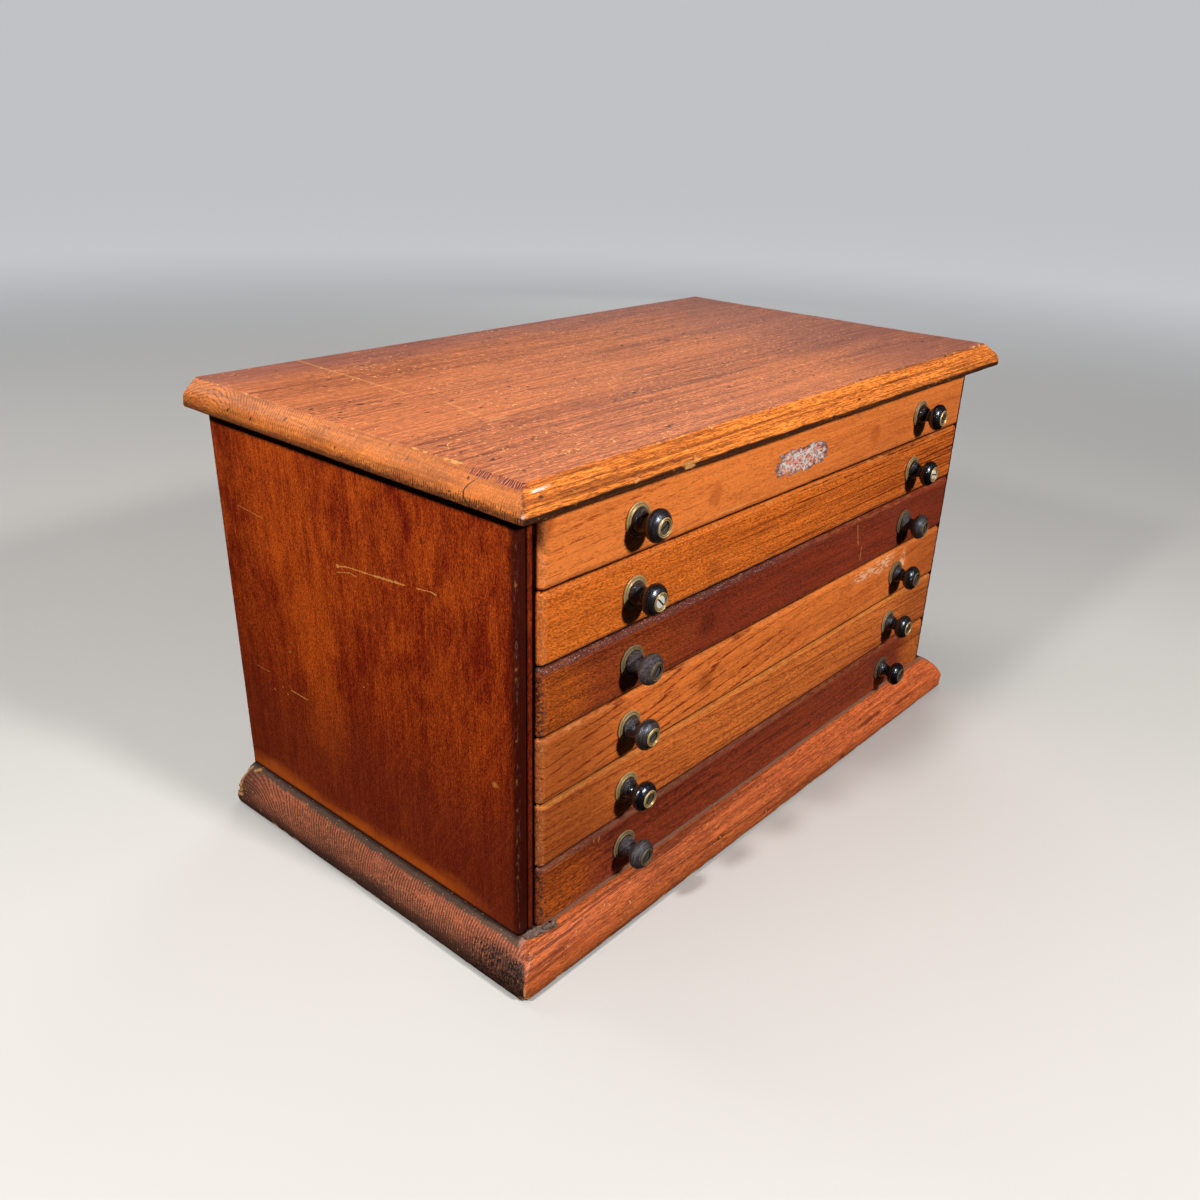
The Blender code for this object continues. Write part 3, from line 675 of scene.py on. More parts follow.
def base_finish(colours):
    """Orange-brown streaked front, ringed and stained worn ends, and grey dust on the ledge."""
    paint = Paint("base_wood_finish", 8)
    wood = Timber(paint, "X", (0.26, -0.07), 0.0036, 0.02, 0.03, 0.34, (8.0, 0.7), 0.08)
    x, y, z = paint.split()
    face = node_box("base_board")[0][1]
    half_width, half_depth = 0.333, 0.18
    end = paint.mark("end")
    light, dark, pale = colours.base_light, colours.base_dark, colours.base_end
    grime_and_shade = colours.grime_and_shade

    # The front: streaks and knots
    quiet = 1 - paint.smooth(x, -0.1, 0.15) * 0.55
    wild = paint.patchy(0.55, 0.66, (5, 30, 46), 3.0, 0.6, 1.8, offset=3.0)
    veins = paint.patchy(0.57, 0.62, (4, 130, 190), 2.0, 0.5, 0.8, offset=4.0)
    glow = paint.patchy(0.5, 0.66, (3, 9, 14), 3.0, 0.6, offset=14.0)
    knots = [(0.29, 0.032, 0.03, 0.0022), (0.19, 0.034, 0.034, 0.0026),
             (0.179, 0.024, 0.04, 0.0024), (0.254, 0.02, 0.036, 0.0022),
             (-0.001, 0.034, 0.006, 0.003), (0.118, 0.007, 0.009, 0.003),
             (-0.12, 0.033, 0.008, 0.0028), (-0.026, 0.011, 0.007, 0.003),
             (-0.1, 0.019, 0.008, 0.0022)]
    knots = paint.most(*[paint.spot((x_at, face + 0.002, z_at), (wide, 0.012, tall), 1.1, 90)
                         for x_at, z_at, wide, tall in knots])
    shade = wood.shade(wood.tone(0.1, 0.16, quiet * 0.24, 0.32, 0.06), light, dark, 0.45,
                       quiet * 0.3, 0.5)
    paint.shade = paint.scaled(shade, 0.86 + paint.smooth(x, -0.25, 0.3) * 0.62)
    paint.coat((wild * quiet * 0.5, dark * (0.8, 0.7, 0.75)), (veins * quiet * 0.62, dark * 0.4),
               (glow * 0.25, light * 1.3), (knots * 0.72, dark * (0.38, 0.3, 0.32)))
    front = paint.shade

    # The ends: rings of the log as arcs, salmon above and stained dark below and at the corners
    wobble = (paint.noise((30, 26, 40), 3.0) - 0.5) * 0.0075
    arc = (log_arcs(y - 0.175, z + 0.06) + wobble) * BASE_ARCS
    rib = paint.smooth(arc.alone("SINE"), -0.3, 0.6)
    rib = rib * paint.patchy(0.3, 0.5, (200, 60, 160), 2.0, 0.6, offset=19.0)
    red = z + (paint.noise((20, 20, 60), 3.0, offset=17.0) - 0.5) * 0.02
    red = paint.smooth(red, 0.02, 0.034)
    ragged = (paint.noise((30, 12, 60), 4.0, 0.65, offset=7.0) - 0.5) * 0.03
    low_tip = paint.smooth(z + ragged, 0.026, 0.009)
    corner = paint.smooth(y + ragged * 1.5, -0.14, -0.185)
    corner = corner * paint.smooth(z + ragged * 0.4, 0.0345, 0.026)
    far = paint.smooth(y + ragged, 0.14, 0.172)
    stained = paint.most(low_tip * 0.8, corner * 0.75, far * 0.6)
    cracked = paint.smooth(y + ragged, -0.125, -0.16) * paint.smooth(z, 0.0345, 0.027)
    crackle = paint.patchy(0.49, 0.55, 430, 2.0, 0.7, offset=26.0) * cracked
    paint.shade = wood.shade(wood.tone(0.0, 0.16, 0.1, 0.3, 0.14), pale * (1.68, 1.46, 1.28),
                             pale * (0.6, 0.62, 0.58), 0.3, 0.0, 1.1)
    paint.coat((red * 0.22, light * (0.9, 0.8, 0.7)), (rib * 0.66, pale * (0.17, 0.12, 0.11)),
               (stained, tint(62, 44, 38)), (crackle * 0.88, tint(20, 15, 15)))
    paint.shade = paint.mix(end, front, paint.shade)

    # Dust on the ledge outside the case, and old dirt against the case and at the foot
    across = abs(x) - half_width
    beyond = paint.most(across, (0.0 - y) - half_depth)
    rough = (paint.noise(90, 4.0, 0.6, offset=6.0) - 0.5) * 0.01
    dusty = paint.smooth(z, 0.027, 0.035) * paint.smooth(beyond + rough * 0.6, 0.0078, 0.0052)
    sideways = paint.smooth(across + y + half_depth, -0.002, 0.002)
    dust = paint.mix(sideways, colours.dust * (2.4, 1.8, 1.6), colours.dust * 0.6)
    grimy = paint.smooth(z, 0.035, 0.0378) * paint.smooth(beyond + rough * 0.5, 0.004, 0.0002)
    low_edge = paint.smooth(z + rough, 0.0055, 0.0002)
    arris = paint.mark("arris") * paint.patchy(0.4, 0.54, (500, 500, 90), 3.0, 0.6, offset=9.0)
    raw = paint.most(paint.mark("raw"), arris * 0.9, *base_marks(paint, face))
    specks = paint.patchy(0.69, 0.74, 380, 1.0, offset=21.0)
    paint.coat((dusty * 0.93, dust), (grimy * 0.8, grime_and_shade), (low_edge * 0.6, grime_and_shade),
               (raw * 0.7, colours.raw * (0.8, 0.86, 1.05)),
               (specks * 0.6, colours.raw * (0.95, 1.0, 1.15)))
    roughness = 0.34 + wood.fibres * 0.16 + dusty * 0.35 + end * 0.14
    grain = wood.relief() * (1 - dusty * 0.6) + end * (wood.grit * 0.8 - rib * 0.8 - crackle)
    height = grain + dusty * paint.noise(900) * 0.6 - raw * 0.5
    return paint.finish(roughness, height, 0.00032, specular=0.3)


def base_marks(paint, face):
    """Small nicks in the base board's front, its worn front corner and the broken back one."""
    nicks = [(-0.108, 0.028, 0.0016), (-0.1, 0.019, 0.0014), (-0.0285, 0.0207, 0.0018),
             (-0.096, 0.0114, 0.0012), (-0.026, 0.011, 0.0022), (0.092, 0.012, 0.002)]
    strokes = [((-0.349, 0.18, 0.0243), (-0.3445, 0.1785, 0.0309), 0.0024, 0.4),
               ((-0.3445, 0.1785, 0.0309), (-0.3385, 0.177, 0.0361), 0.0027, 0.4),
               ((-0.3395, 0.169, 0.0357), (-0.3365, 0.165, 0.0367), 0.0024, 0.4),
               ((-0.3533, -0.2064, 0.006), (-0.3522, -0.2054, 0.026), 0.0013, 0.9),
               ((-0.12, face + 0.001, 0.036), (-0.1185, face + 0.001, 0.027), 0.0007)]
    marks = [paint.spot((x, face + 0.002, z), (radius, 0.008, radius), 0.8, 400)
             for x, z, radius in nicks]
    return marks + [paint.stroke(*stroke) for stroke in strokes]


def side_finish(colours):
    """Deep red-brown panels with orange figure, an amber foot and pale scratches."""
    paint = Paint("side_wood_finish", 14)
    wood = Timber(paint, "Z", (0.9, 0.1), 0.006, 0.05, 0.06, 0.3, (3.0, 0.9), 0.05)
    x, y, z = paint.split()
    low, high = node_box("side_panel_left")
    light, dark, grime_and_shade = colours.side_light, colours.side_dark, colours.grime_and_shade

    # Places of orange and of dark figure: depth, height, their reach, and how strong the orange is
    patches = [(0.101, 0.362, 0.05, 0.03, 0.75), (-0.002, 0.362, 0.06, 0.02, 0.6),
               (0.09, 0.3, 0.026, 0.06, 0.75), (0.04, 0.275, 0.022, 0.05, 0.7),
               (0.06, 0.22, 0.042, 0.07, 0.9), (0.05, 0.15, 0.03, 0.08, 0.7),
               (-0.11, 0.33, 0.045, 0.06, 0.35), (-0.055, 0.267, 0.026, 0.04, 0.45),
               (0.06, 0.33, 0.2, 0.11, 0.45)]
    clouds = [(0.008, 0.322, 0.028, 0.026), (-0.014, 0.226, 0.018, 0.03),
              (0.018, 0.186, 0.016, 0.026), (0.15, 0.3, 0.03, 0.06)]
    orange = paint.most(*[paint.spot((-0.333, y_at, z_at), (0.8, deep, tall), 1.0, 34.0) * amount
                          for y_at, z_at, deep, tall, amount in patches])
    hollow = paint.most(*[paint.spot((-0.333, y_at, z_at), (0.8, deep, tall), 0.9, 40.0)
                          for y_at, z_at, deep, tall in clouds])
    blotch = paint.noise((6, 13, 5), 4.0, 0.6, 0.8, offset=2.0)
    curl = paint.noise((60, 90, 26), 4.0, 0.55, 1.8, offset=3.0)
    swirl = paint.noise((16, 30, 13), 3.0, 0.5, 2.4, offset=23.0)
    calm = paint.smooth(z, 0.1, 0.3) * 0.65 + 0.35
    tone = wood.tone(0.03, 0.09, 0.06, 0.0, 0.12) - 0.17 + (blotch - 0.5) * 0.26
    tone = tone + orange * 0.2 - hollow * 0.06 + ((curl - 0.5) * 0.3 + (swirl - 0.5) * 0.5) * calm
    peel = paint.noise((1000, 900, 620), 2.0, 0.6, offset=9.0)
    shade = wood.shade(tone, light, dark, 0.4, 0.12, 0.7)
    paint.shade = paint.scaled(shade, 1 + (peel - 0.5) * 2.4)

    threads = paint.patchy(0.56, 0.66, (260, 230, 9), 2.0, 0.5, 0.5, offset=13.0, lean=-0.55)
    threads = threads * paint.smooth(y, 0.03, -0.05) * paint.smooth(z, 0.3, 0.22)
    low_down = paint.smooth(z + (blotch - 0.5) * 0.1, 0.2, 0.09)
    foot = z + (paint.noise((3, 16, 40), 3.0, 0.6, offset=4.0) - 0.5) * 0.026
    amber = paint.smooth(foot, 0.059, 0.043) * paint.smooth(y, -0.165, -0.09)
    amber = amber * paint.smooth(z, 0.039, 0.042)
    front = paint.mark("front_edge")
    outer = paint.smooth(abs(x), 0.3215, 0.324)
    worn = paint.patchy(0.56, 0.61, (700, 700, 120), 4.0, 0.7, offset=17.0)
    # Darker at the foot, and a painted shadow in the band just under the top board's overhang
    dark_foot_and_overhang_shadow = paint.most(paint.smooth(z, 0.0415, 0.0386),
                       paint.smooth(z, high[2] - 0.0135, high[2] - 0.012) * 0.8)
    raw = paint.most(paint.mark("raw"), *side_marks(paint, low[0]))
    knots = paint.most(*[paint.spot((low[0], y_at, z_at), (0.004, 0.0028, 0.0035), 0.8, 200)
                         for y_at, z_at in ((0.126, 0.341), (-0.086, 0.338))])
    paint.coat((paint.smooth(peel, 0.58, 0.72) * 0.35, light * 1.3), (threads * 0.22, light * 1.2),
               (low_down * 0.45, tint(108, 40, 27)),
               (amber * (0.45 + curl * 0.6), light * (1.25, 1.55, 1.2)),
               (front * (0.45 + outer * 0.5), dark * 0.16),
               (paint.mark("arris") * worn * 0.26, tint(140, 108, 98)),
               (paint.mark("quirk"), grime_and_shade * 0.15), (dark_foot_and_overhang_shadow * 0.9, grime_and_shade * 0.3),
               (raw * 0.85, colours.raw * (1.0, 0.9, 0.72)), (knots * 0.6, dark * 0.3))
    roughness = 0.3 + wood.fibres * 0.1 + (blotch - 0.5) * 0.08 + front * 0.12
    height = wood.relief() * 0.5 + peel * 0.5 - raw * 0.6 - knots * 0.3
    return paint.finish(roughness, height, 0.00016, specular=0.2)


def side_marks(paint, face):
    """The scratches and chips of the left panel, each a stroke or a spot on its face."""
    scratches = [(0.0172, 0.289, 0.0042, 0.292, 0.0009), (0.0042, 0.292, -0.03, 0.2948, 0.0007),
                 (-0.03, 0.2948, -0.0572, 0.2975, 0.0013),
                 (-0.0572, 0.2975, -0.064, 0.298, 0.0008),
                 (-0.078, 0.2996, -0.0941, 0.3019, 0.0006),
                 (-0.0941, 0.3019, -0.0994, 0.3012, 0.0008), (0.0179, 0.2838, 0.001, 0.288, 0.0004),
                 (0.001, 0.288, -0.0076, 0.2873, 0.0005), (0.1516, 0.3047, 0.1167, 0.3023, 0.0004),
                 (0.1023, 0.1466, 0.0772, 0.1465, 0.0006), (0.1553, 0.1529, 0.1332, 0.153, 0.0003)]
    chips = [(0.0165, 0.2893, 0.0024), (0.1283, 0.1376, 0.0013), (0.1147, 0.1449, 0.0012),
             (0.1078, 0.1404, 0.0012), (-0.0054, 0.191, 0.0011), (-0.0111, 0.1959, 0.0008),
             (0.0971, 0.1859, 0.0014), (0.094, 0.1956, 0.0009)]
    marks = [paint.stroke((face, *line[:2]), (face, *line[2:4]), line[4]) for line in scratches]
    marks += [paint.spot((face, y, z), (0.003, radius, radius), 0.7, 350) for y, z, radius in chips]
    return marks + [paint.spot((face, -0.1565, 0.1673), (0.003, 0.0038, 0.0032), 0.9, 260) * 0.55]


# Pith depth and height from the front's face and middle, rings, and how each kind of grain shows
FRONT_WOODS = {
    1: dict(rings=((0.04, -0.07), 0.0085, -0.08, 0.04, 0.2, (5.0, 0.6), 0.04, (0.38, 0.62), 0.64),
            tone=(0.27, 0.1, 0.14, 0.2, 0.03), pores=0.32, lines=0.08, crisp=0.25,
            lift=(1.05, 1.12, 1.3)),
    2: dict(rings=((0.3, 0.3), 0.0026, 0.01, 0.008, 0.15, (2.6, 0.42), 0.06, (0.34, 0.56), 0.55),
            tone=(0.06, 0.12, 0.16, 0.2, 0.04), pores=0.6, lines=0.2, crisp=0.3,
            lift=(1.12, 1.04, 0.72)),
    3: dict(rings=((0.12, 0.04), 0.007, 0.02, 0.02, 0.16, (3.2, 0.6), 0.08, (0.34, 0.56), 0.57),
            tone=(0.12, 0.14, 0.14, 0.26, 0.12), pores=0.55, lines=0.2, crisp=0.9,
            lift=(0.96, 0.98, 1.2)),
    4: dict(rings=((0.05, -0.11), 0.0098, -0.105, 0.04, 0.26, (5.0, 0.6), 0.06, (0.34, 0.6), 0.61),
            tone=(0.52, 0.1, 0.16, 0.2, 0.03), pores=0.42, lines=0.12, crisp=0.28,
            lift=(1.02, 1.02, 1.12)),
    5: dict(rings=((0.2, 0.12), 0.0046, 0.08, 0.02, 0.2, (5.0, 0.55), 0.06, (0.34, 0.56), 0.575),
            tone=(0.24, 0.1, 0.2, 0.22, 0.04), pores=0.55, lines=0.5, crisp=0.35,
            lift=(1.0, 1.02, 1.12)),
    6: dict(rings=((0.09, 0.06), 0.007, 0.02, 0.024, 0.18, (4.0, 0.6), 0.08, (0.34, 0.56), 0.58),
            tone=(0.16, 0.14, 0.18, 0.26, 0.12), pores=0.5, lines=0.25, crisp=0.8,
            lift=(1.08, 1.24, 1.5)),
}
RED_FRONTS = (3, 6)


def front_finish(number, colours):
    """Varnish over one drawer front, with its own cut of wood, worn rim and smudges."""
    cut, red = FRONT_WOODS[number], number in RED_FRONTS
    low, high = node_box(f"drawer_{number}_front")
    face, middle = low[1], (low[2] + high[2]) / 2
    paint = Paint(f"front_{number}_finish", 20 + number)
    pith, *rings = cut["rings"]
    wood = Timber(paint, "X", (face + pith[0], middle + pith[1]), *rings, face=face, bend=0.2)
    light, dark = colours.front_light * cut["lift"], colours.front_dark * cut["lift"]
    if red:
        light, dark = colours.red_light * cut["lift"], colours.red_dark * cut["lift"]
    x, _, z = paint.split()
    figure, *others = cut["tone"]
    if number in (1, 4):
        figure = figure - paint.smooth(x + z * 0.8, 0.06, 0.22) * figure * 0.75
    tone = wood.tone(figure, *others)
    lines = cut["lines"]
    if number == 2:
        lines = lines + paint.smooth(x, -0.16, 0.02) * 0.85
    paint.shade = wood.shade(tone, light, dark, cut["pores"], lines, cut["crisp"])
    paint.coat(*front_patches(paint, wood, tone, number, face, middle, colours))
    rim, end = paint.mark("rim"), paint.mark("end")
    rough = paint.noise((120, 300, 420), 4.0, 0.65, offset=5.0)
    rubbed = rim * paint.smooth(rough, 0.46, 0.57)
    blackened = end * paint.smooth(rough, 0.42, 0.58)
    speckle = end * paint.patchy(0.52, 0.62, (760, 760, 520), 3.0, 0.65, offset=18.0)
    if red:
        paint.coat((rubbed * 0.45, colours.raw * (0.42, 0.38, 0.46)),
                   (blackened * 0.85, dark * 0.3), (speckle * 0.3, tint(150, 104, 98)))
    else:
        paint.coat((rubbed * 0.34, colours.raw * (0.82, 0.66, 0.46)),
                   (blackened * 0.4, dark * 0.3), (speckle * 0.55, tint(222, 150, 112)))
    paint.coat(*top_edge_wear_and_highlight(paint, number, high[2]))
    raw = paint.most(paint.mark("raw") * (0.25 if red else 1.0), *front_marks(paint, number, face))
    paint.coat((paint.mark("joint") * 0.95, colours.grime_and_shade * 0.25),
               (raw * 0.75, colours.raw * (1.05, 0.92, 0.9)))
    roughness = 0.33 + wood.fibres * 0.16 + rim * 0.06
    height = wood.relief() * (0.8 if red else 1.0) - raw * 0.4 + rubbed * 0.2
    return paint.finish(roughness, height, 0.00022, specular=0.22)


# Along a front's upper edge: where the band ends, how high it is, its strength, two colours
# The red fronts' bands are wear with a painted highlight on the rounding; the fifth's is a painted
# highlight
TOP_EDGES = {3: ((0.1, -0.08), 0.0068, 0.75, (84, 38, 34), (190, 156, 150)),
             5: ((0.4, 0.3), 0.0045, 0.4, (214, 130, 52), (236, 176, 96)),
             6: ((0.12, -0.02), 0.006, 0.45, (96, 54, 44), (150, 116, 104))}


def top_edge_wear_and_highlight(paint, number, top):
    """Layers for the band along the upper rounded edge of some fronts: speckled wear and a painted
    highlight.
    """
    if number not in TOP_EDGES:
        return []
    ends, tall, strength, ground, fleck = TOP_EDGES[number]
    x, _, z = paint.split()
    rough = paint.noise((60, 60, 160), 3.0, 0.6, offset=41.0) - 0.5
    band = paint.smooth(z + rough * 0.004, top - tall, top - tall * 0.5)
    band = band * paint.smooth(x + rough * 0.2, *ends)
    grain = paint.patchy(0.54, 0.68, (800, 800, 900), 2.0, 0.6, offset=42.0)
    return [(band * strength, paint.mix(grain * 0.8, tint(*ground), tint(*fleck)))]


def front_patches(paint, wood, tone, number, face, middle, colours):
    """Layers where a front's colour changes: lighter ends, worn varnish, smudges, and darker ends
    partly painted shade.
    """
    def patch(x, z, wide, tall, ragged=0.6, size=30.0):
        return paint.spot((x, face, middle + z), (wide, 0.2, tall), ragged, size)

    light, dark = colours.front_light, colours.front_dark
    if number == 1:
        smudge = paint.most(patch(-0.312, 0.022, 0.012, 0.02),
                            patch(-0.122, -0.004, 0.012, 0.013, 1.2, 90) * 0.7,
                            patch(0.13, -0.004, 0.014, 0.012, 1.2, 90) * 0.7)
        return [(smudge * 0.6, dark * 0.9)]
    if number == 2:
        return [(patch(-0.119, -0.012, 0.014, 0.012, 1.2, 90) * 0.3, dark * 0.5)]
    if number in RED_FRONTS:
        amber = wood.shade(tone, light * (0.62, 0.52, 0.36), dark * (0.5, 0.38, 0.3), 0.6)
    if number == 3:
        faded = paint.most(patch(-0.33, -0.004, 0.095, 0.06, 0.5) * 0.9,
                           patch(-0.25, 0.0, 0.13, 0.07, 0.6) * 0.34)
        return [(faded, amber),
                (patch(-0.121, 0.0, 0.016, 0.013, 1.0, 90) * 0.35, colours.red_dark * 0.4)]
    if number == 6:
        ripe = wood.shade(tone, light * 0.8, dark * 0.8, 0.5)
        return [(patch(-0.32, -0.004, 0.09, 0.05, 0.7) * 0.8, amber),
                (patch(0.33, 0.0, 0.08, 0.1, 0.25), ripe)]
    # Darker ends of the fourth and fifth fronts: partly age and handling, partly painted shade
    aged = paint.most(patch(-0.33, 0.0, 0.13, 0.09, 0.5), patch(0.33, 0.0, 0.12, 0.09, 0.5) * 0.6)
    layers = [(aged * 0.52, dark * 0.55)]
    if number == 4:
        peeled = paint.most(patch(0.15, 0.018, 0.03, 0.008, 0.8, 160),
                            patch(0.19, 0.018, 0.032, 0.01, 0.8, 160),
                            patch(0.233, 0.01, 0.008, 0.016, 0.8, 160))
        flakes = paint.patchy(0.48, 0.53, (130, 300, 420), 3.0, 0.65, offset=47.0)
        layers += [(peeled * flakes * 0.9, tint(255, 190, 146)),
                   (patch(-0.118, -0.002, 0.015, 0.013, 1.0, 120) * 0.45, dark * 0.5)]
    return layers


# Scratches of some fronts as x and z of both ends and a width, and bare nicks as x, z and radius
FRONT_SCRATCHES = {
    1: [(-0.1159, 0.3312, -0.0812, 0.3296, 0.001)],
    3: [(0.1203, 0.26, 0.1262, 0.2385, 0.0008), (0.1345, 0.234, 0.1345, 0.22, 0.0007)],
    4: [(-0.0153, 0.1679, -0.0224, 0.1612, 0.0011), (0.2348, 0.2051, 0.226, 0.1925, 0.0016),
        (0.142, 0.209, 0.16, 0.205, 0.0014), (0.171, 0.202, 0.185, 0.2085, 0.0014),
        (0.185, 0.2085, 0.212, 0.206, 0.0013)],
    6: [(-0.2524, 0.0956, -0.2557, 0.0896, 0.0009), (-0.249, 0.0905, -0.2505, 0.087, 0.0006)]}
FRONT_NICKS = {3: [(0.1242, 0.2655, 0.0018)], 4: [(0.2071, 0.206, 0.004), (0.195, 0.208, 0.0034)]}


def front_marks(paint, number, face):
    """Scratches and bare nicks of one front."""
    marks = [paint.stroke((x, face, z), (x_end, face, z_end), width)
             for x, z, x_end, z_end, width in FRONT_SCRATCHES.get(number, ())]
    return marks + [paint.spot((x, face, z), (radius, 0.004, radius), 0.9, 300)
                    for x, z, radius in FRONT_NICKS.get(number, ())]


def bare_finish(name, grain, pith, colours, seed, darker=1.0, rims=()):
    """Unpolished, aged wood; rims are heights that are darkened by handling."""
    paint = Paint(name, seed)
    wood = Timber(paint, grain, pith, 0.0052, 0.02, 0.02, pore=(9.0, 0.6))
    light, dark = colours.box_light * darker, colours.box_dark * darker
    paint.shade = wood.shade(wood.tone(0.26, 0.18, 0.2, 0.3, 0.1), light, dark, 0.3, 0.2, 0.6)
    stain = paint.patchy(0.5, 0.72, (7, 7, 12), 4.0, 0.6, offset=9.0)
    scuffs = paint.smooth(wood.noise(14, 260, 3.0, 0.6, offset=12.0), 0.6, 0.72)
    paint.coat((stain * 0.4, dark * 0.55), (scuffs * 0.2, light * 1.2))
    rough = (wood.noise(9, 60, 3.0, 0.6, offset=16.0) - 0.5) * 0.006
    for rim in rims:
        miss = abs(paint.split()[2] + rough - rim)
        paint.coat((paint.smooth(miss, 0.005, 0.0) * 0.75, colours.grime_and_shade * 2.2))
    return paint.finish(0.62 + wood.fibres * 0.2, wood.relief(), 0.0002)


def black_finish(name, colours, matt, seed):
    """Black polish, rubbed to brown on its edges and pitted where it has dried out."""
    paint = Paint(name, seed)
    worn = paint.patchy(0.56, 0.7, 140, 4.0, 0.65)
    pits = paint.patchy(0.56, 0.68, 480, 2.0, 0.6, offset=4.0)
    hair = paint.patchy(0.52, 0.66, (60, 1500, 60), 2.0, 0.6, 0.3, offset=6.0)
    wrinkles = paint.noise((260, 420, 260), 4.0, 0.7, 1.2, offset=8.0)
    rub, foot = paint.mark("rub"), paint.mark("foot")
    black = colours.black
    deep = black * 0.8 + np.array((0.05, 0.038, 0.036)) * matt
    brown = black * 1.6 + np.array((0.02, 0.011, 0.008)) + np.array((0.06, 0.042, 0.034)) * matt
    shade = paint.mix(worn * (0.3 + 0.3 * matt) + rub * 0.2, deep, brown)
    shade = paint.mix(foot * (0.35 + 0.4 * matt ** 0.5), shade, tint(74, 62, 60))
    paint.shade = paint.scaled(shade, 1 + (wrinkles - 0.5) * (1.5 + 3.0 * matt))
    paint.coat((hair * (foot * 0.45 + 2.0 * matt * (1 - matt)), tint(126, 114, 110)),
               (pits * (0.25 + 0.4 * matt), black * 0.35))
    roughness = 0.21 + 0.42 * matt ** 0.7 + worn * 0.12 + pits * 0.1
    roughness = roughness + foot * (0.22 * min(1, matt * 4))
    height = wrinkles * (0.5 + matt * 2.2) - pits * (0.45 + matt * 1.4) + worn * 0.2
    height = height - hair * (foot * 0.5 + 3 * matt * (1 - matt))
    return paint.finish(roughness, height, 0.00018, specular=1.0 - 0.6 * matt,
                        gloss=(0.74, 0.82, 1.0))


def brass_finish(name, colours, seed, dull=0.0):
    """Aged brass: cream on the ridges and brown in the turned lines, or dulled to grey-brown."""
    paint = Paint(name, seed)
    tarnish = paint.patchy(0.42, 0.68, 150, 4.0, 0.65)
    specks = paint.patchy(0.58, 0.7, 800, 2.0, 0.5, offset=3.0)
    hollow = paint.mark("hollow")
    brass = colours.brass * (1 - dull) + tint(86, 72, 60) * dull
    paint.shade = paint.mix(tarnish * 0.55, brass * 0.95, brass * (0.42, 0.36, 0.27))
    paint.coat((hollow * 0.92, brass * (0.07, 0.055, 0.045)),
               (specks * (0.5 + dull * 0.4), brass * 0.2))
    roughness = 0.34 + tarnish * 0.2 + hollow * 0.2 + dull * 0.25
    return paint.finish(roughness, 0 - specks * 0.6, 0.0001, metallic=0.45 - 0.3 * dull)


def steel_finish(name, colours, bright, seed):
    """Screw steel, clean and scraped or browned by age."""
    paint = Paint(name, seed)
    scraped = paint.noise((160, 900, 900), 3.0, 0.6)
    rust = paint.patchy(0.56 if bright else 0.3, 0.72, 420, 3.0, 0.6, offset=3.0)
    steel = colours.steel * (1.0 if bright else 0.17)
    paint.shade = paint.mix(scraped, steel * 0.85, steel)
    paint.coat((rust * 0.3, tint(122, 96, 70)) if bright else (rust * 0.7, tint(86, 60, 44)),
               (paint.mark("slot"), tint(18, 13, 12)))
    return paint.finish(0.34 + rust * 0.3, scraped, 0.00005, metallic=0.0 if bright else 0.4,
                        specular=0.7)


def paper_finish(colours):
    """Blank old paper, grey at its torn rim, with faded pink and orange-brown glue."""
    paint = Paint("old_paper_finish", 60)
    mottle = paint.noise((110, 110, 190), 4.0, 0.7)
    scuffed = paint.patchy(0.5, 0.58, (300, 300, 620), 4.0, 0.7, offset=3.0)
    bald = paint.patchy(0.57, 0.62, (150, 150, 260), 4.0, 0.7, offset=5.0)
    torn = paint.smooth(paint.mark("torn") + (mottle - 0.5) * 0.9, 0.78, 0.98)
    paint.shade = paint.mix(paint.smooth(mottle, 0.46, 0.54), colours.paper * 1.15,
                            tint(232, 146, 126))
    paint.coat((scuffed * 0.75, tint(66, 60, 66)), (bald * 0.8, tint(196, 112, 62)),
               (torn * 0.75, tint(70, 62, 66)))
    return paint.finish(0.75 + scuffed * 0.1, mottle + scuffed * 0.5, 0.0002)


def dust_finish(colours):
    """Felted grey dust."""
    paint = Paint("dust_finish", 61)
    mottle, dust = paint.noise(420, 4.0, 0.7), colours.dust
    paint.shade = paint.ramp(mottle, (0.3, dust * 0.25), (0.5, dust), (0.7, dust * 1.7))
    return paint.finish(0.9, mottle, 0.0006)


def floor_finish(colours):
    """Pale, even studio floor that stays pale where the lamps no longer reach it."""
    paint = Paint("floor_finish", 70)
    paint.shade = paint.mix(paint.noise(3, 3.0, 0.6), colours.floor * 0.97, colours.floor)
    away = paint.smooth(paint.vector("LENGTH", paint.place, (0, 0, 0), output="Value"), 0.9, 4.5)
    glow = paint.mix(away, (0.0, 0.0, 0.0), (0.5, 0.51, 0.53))
    return paint.finish(0.85, specular=0.2, glow=glow)


# Pieces

def edge_nicks(count, low, high, inset, level, reach, depth, seed):
    """Random chips along a board's front arris and its two end arrises."""
    chance = np.random.default_rng(seed)
    chips = []
    for index in range(count):
        size, deep = reach * chance.uniform(0.4, 1.0), depth * chance.uniform(0.25, 0.8)
        if index % 5 < 3:
            at = (chance.uniform(low[0] + 0.02, high[0] - 0.02), low[1] + inset)
            spread = (size * chance.uniform(1.5, 4), size, size)
        else:
            side = (low[0] + inset, high[0] - inset)[index % 2]
            at = (side, chance.uniform(low[1] + 0.02, high[1] - 0.01))
            spread = (size, size * chance.uniform(1.5, 3), size)
        chips.append((*at, level, *spread, deep))
    return chips


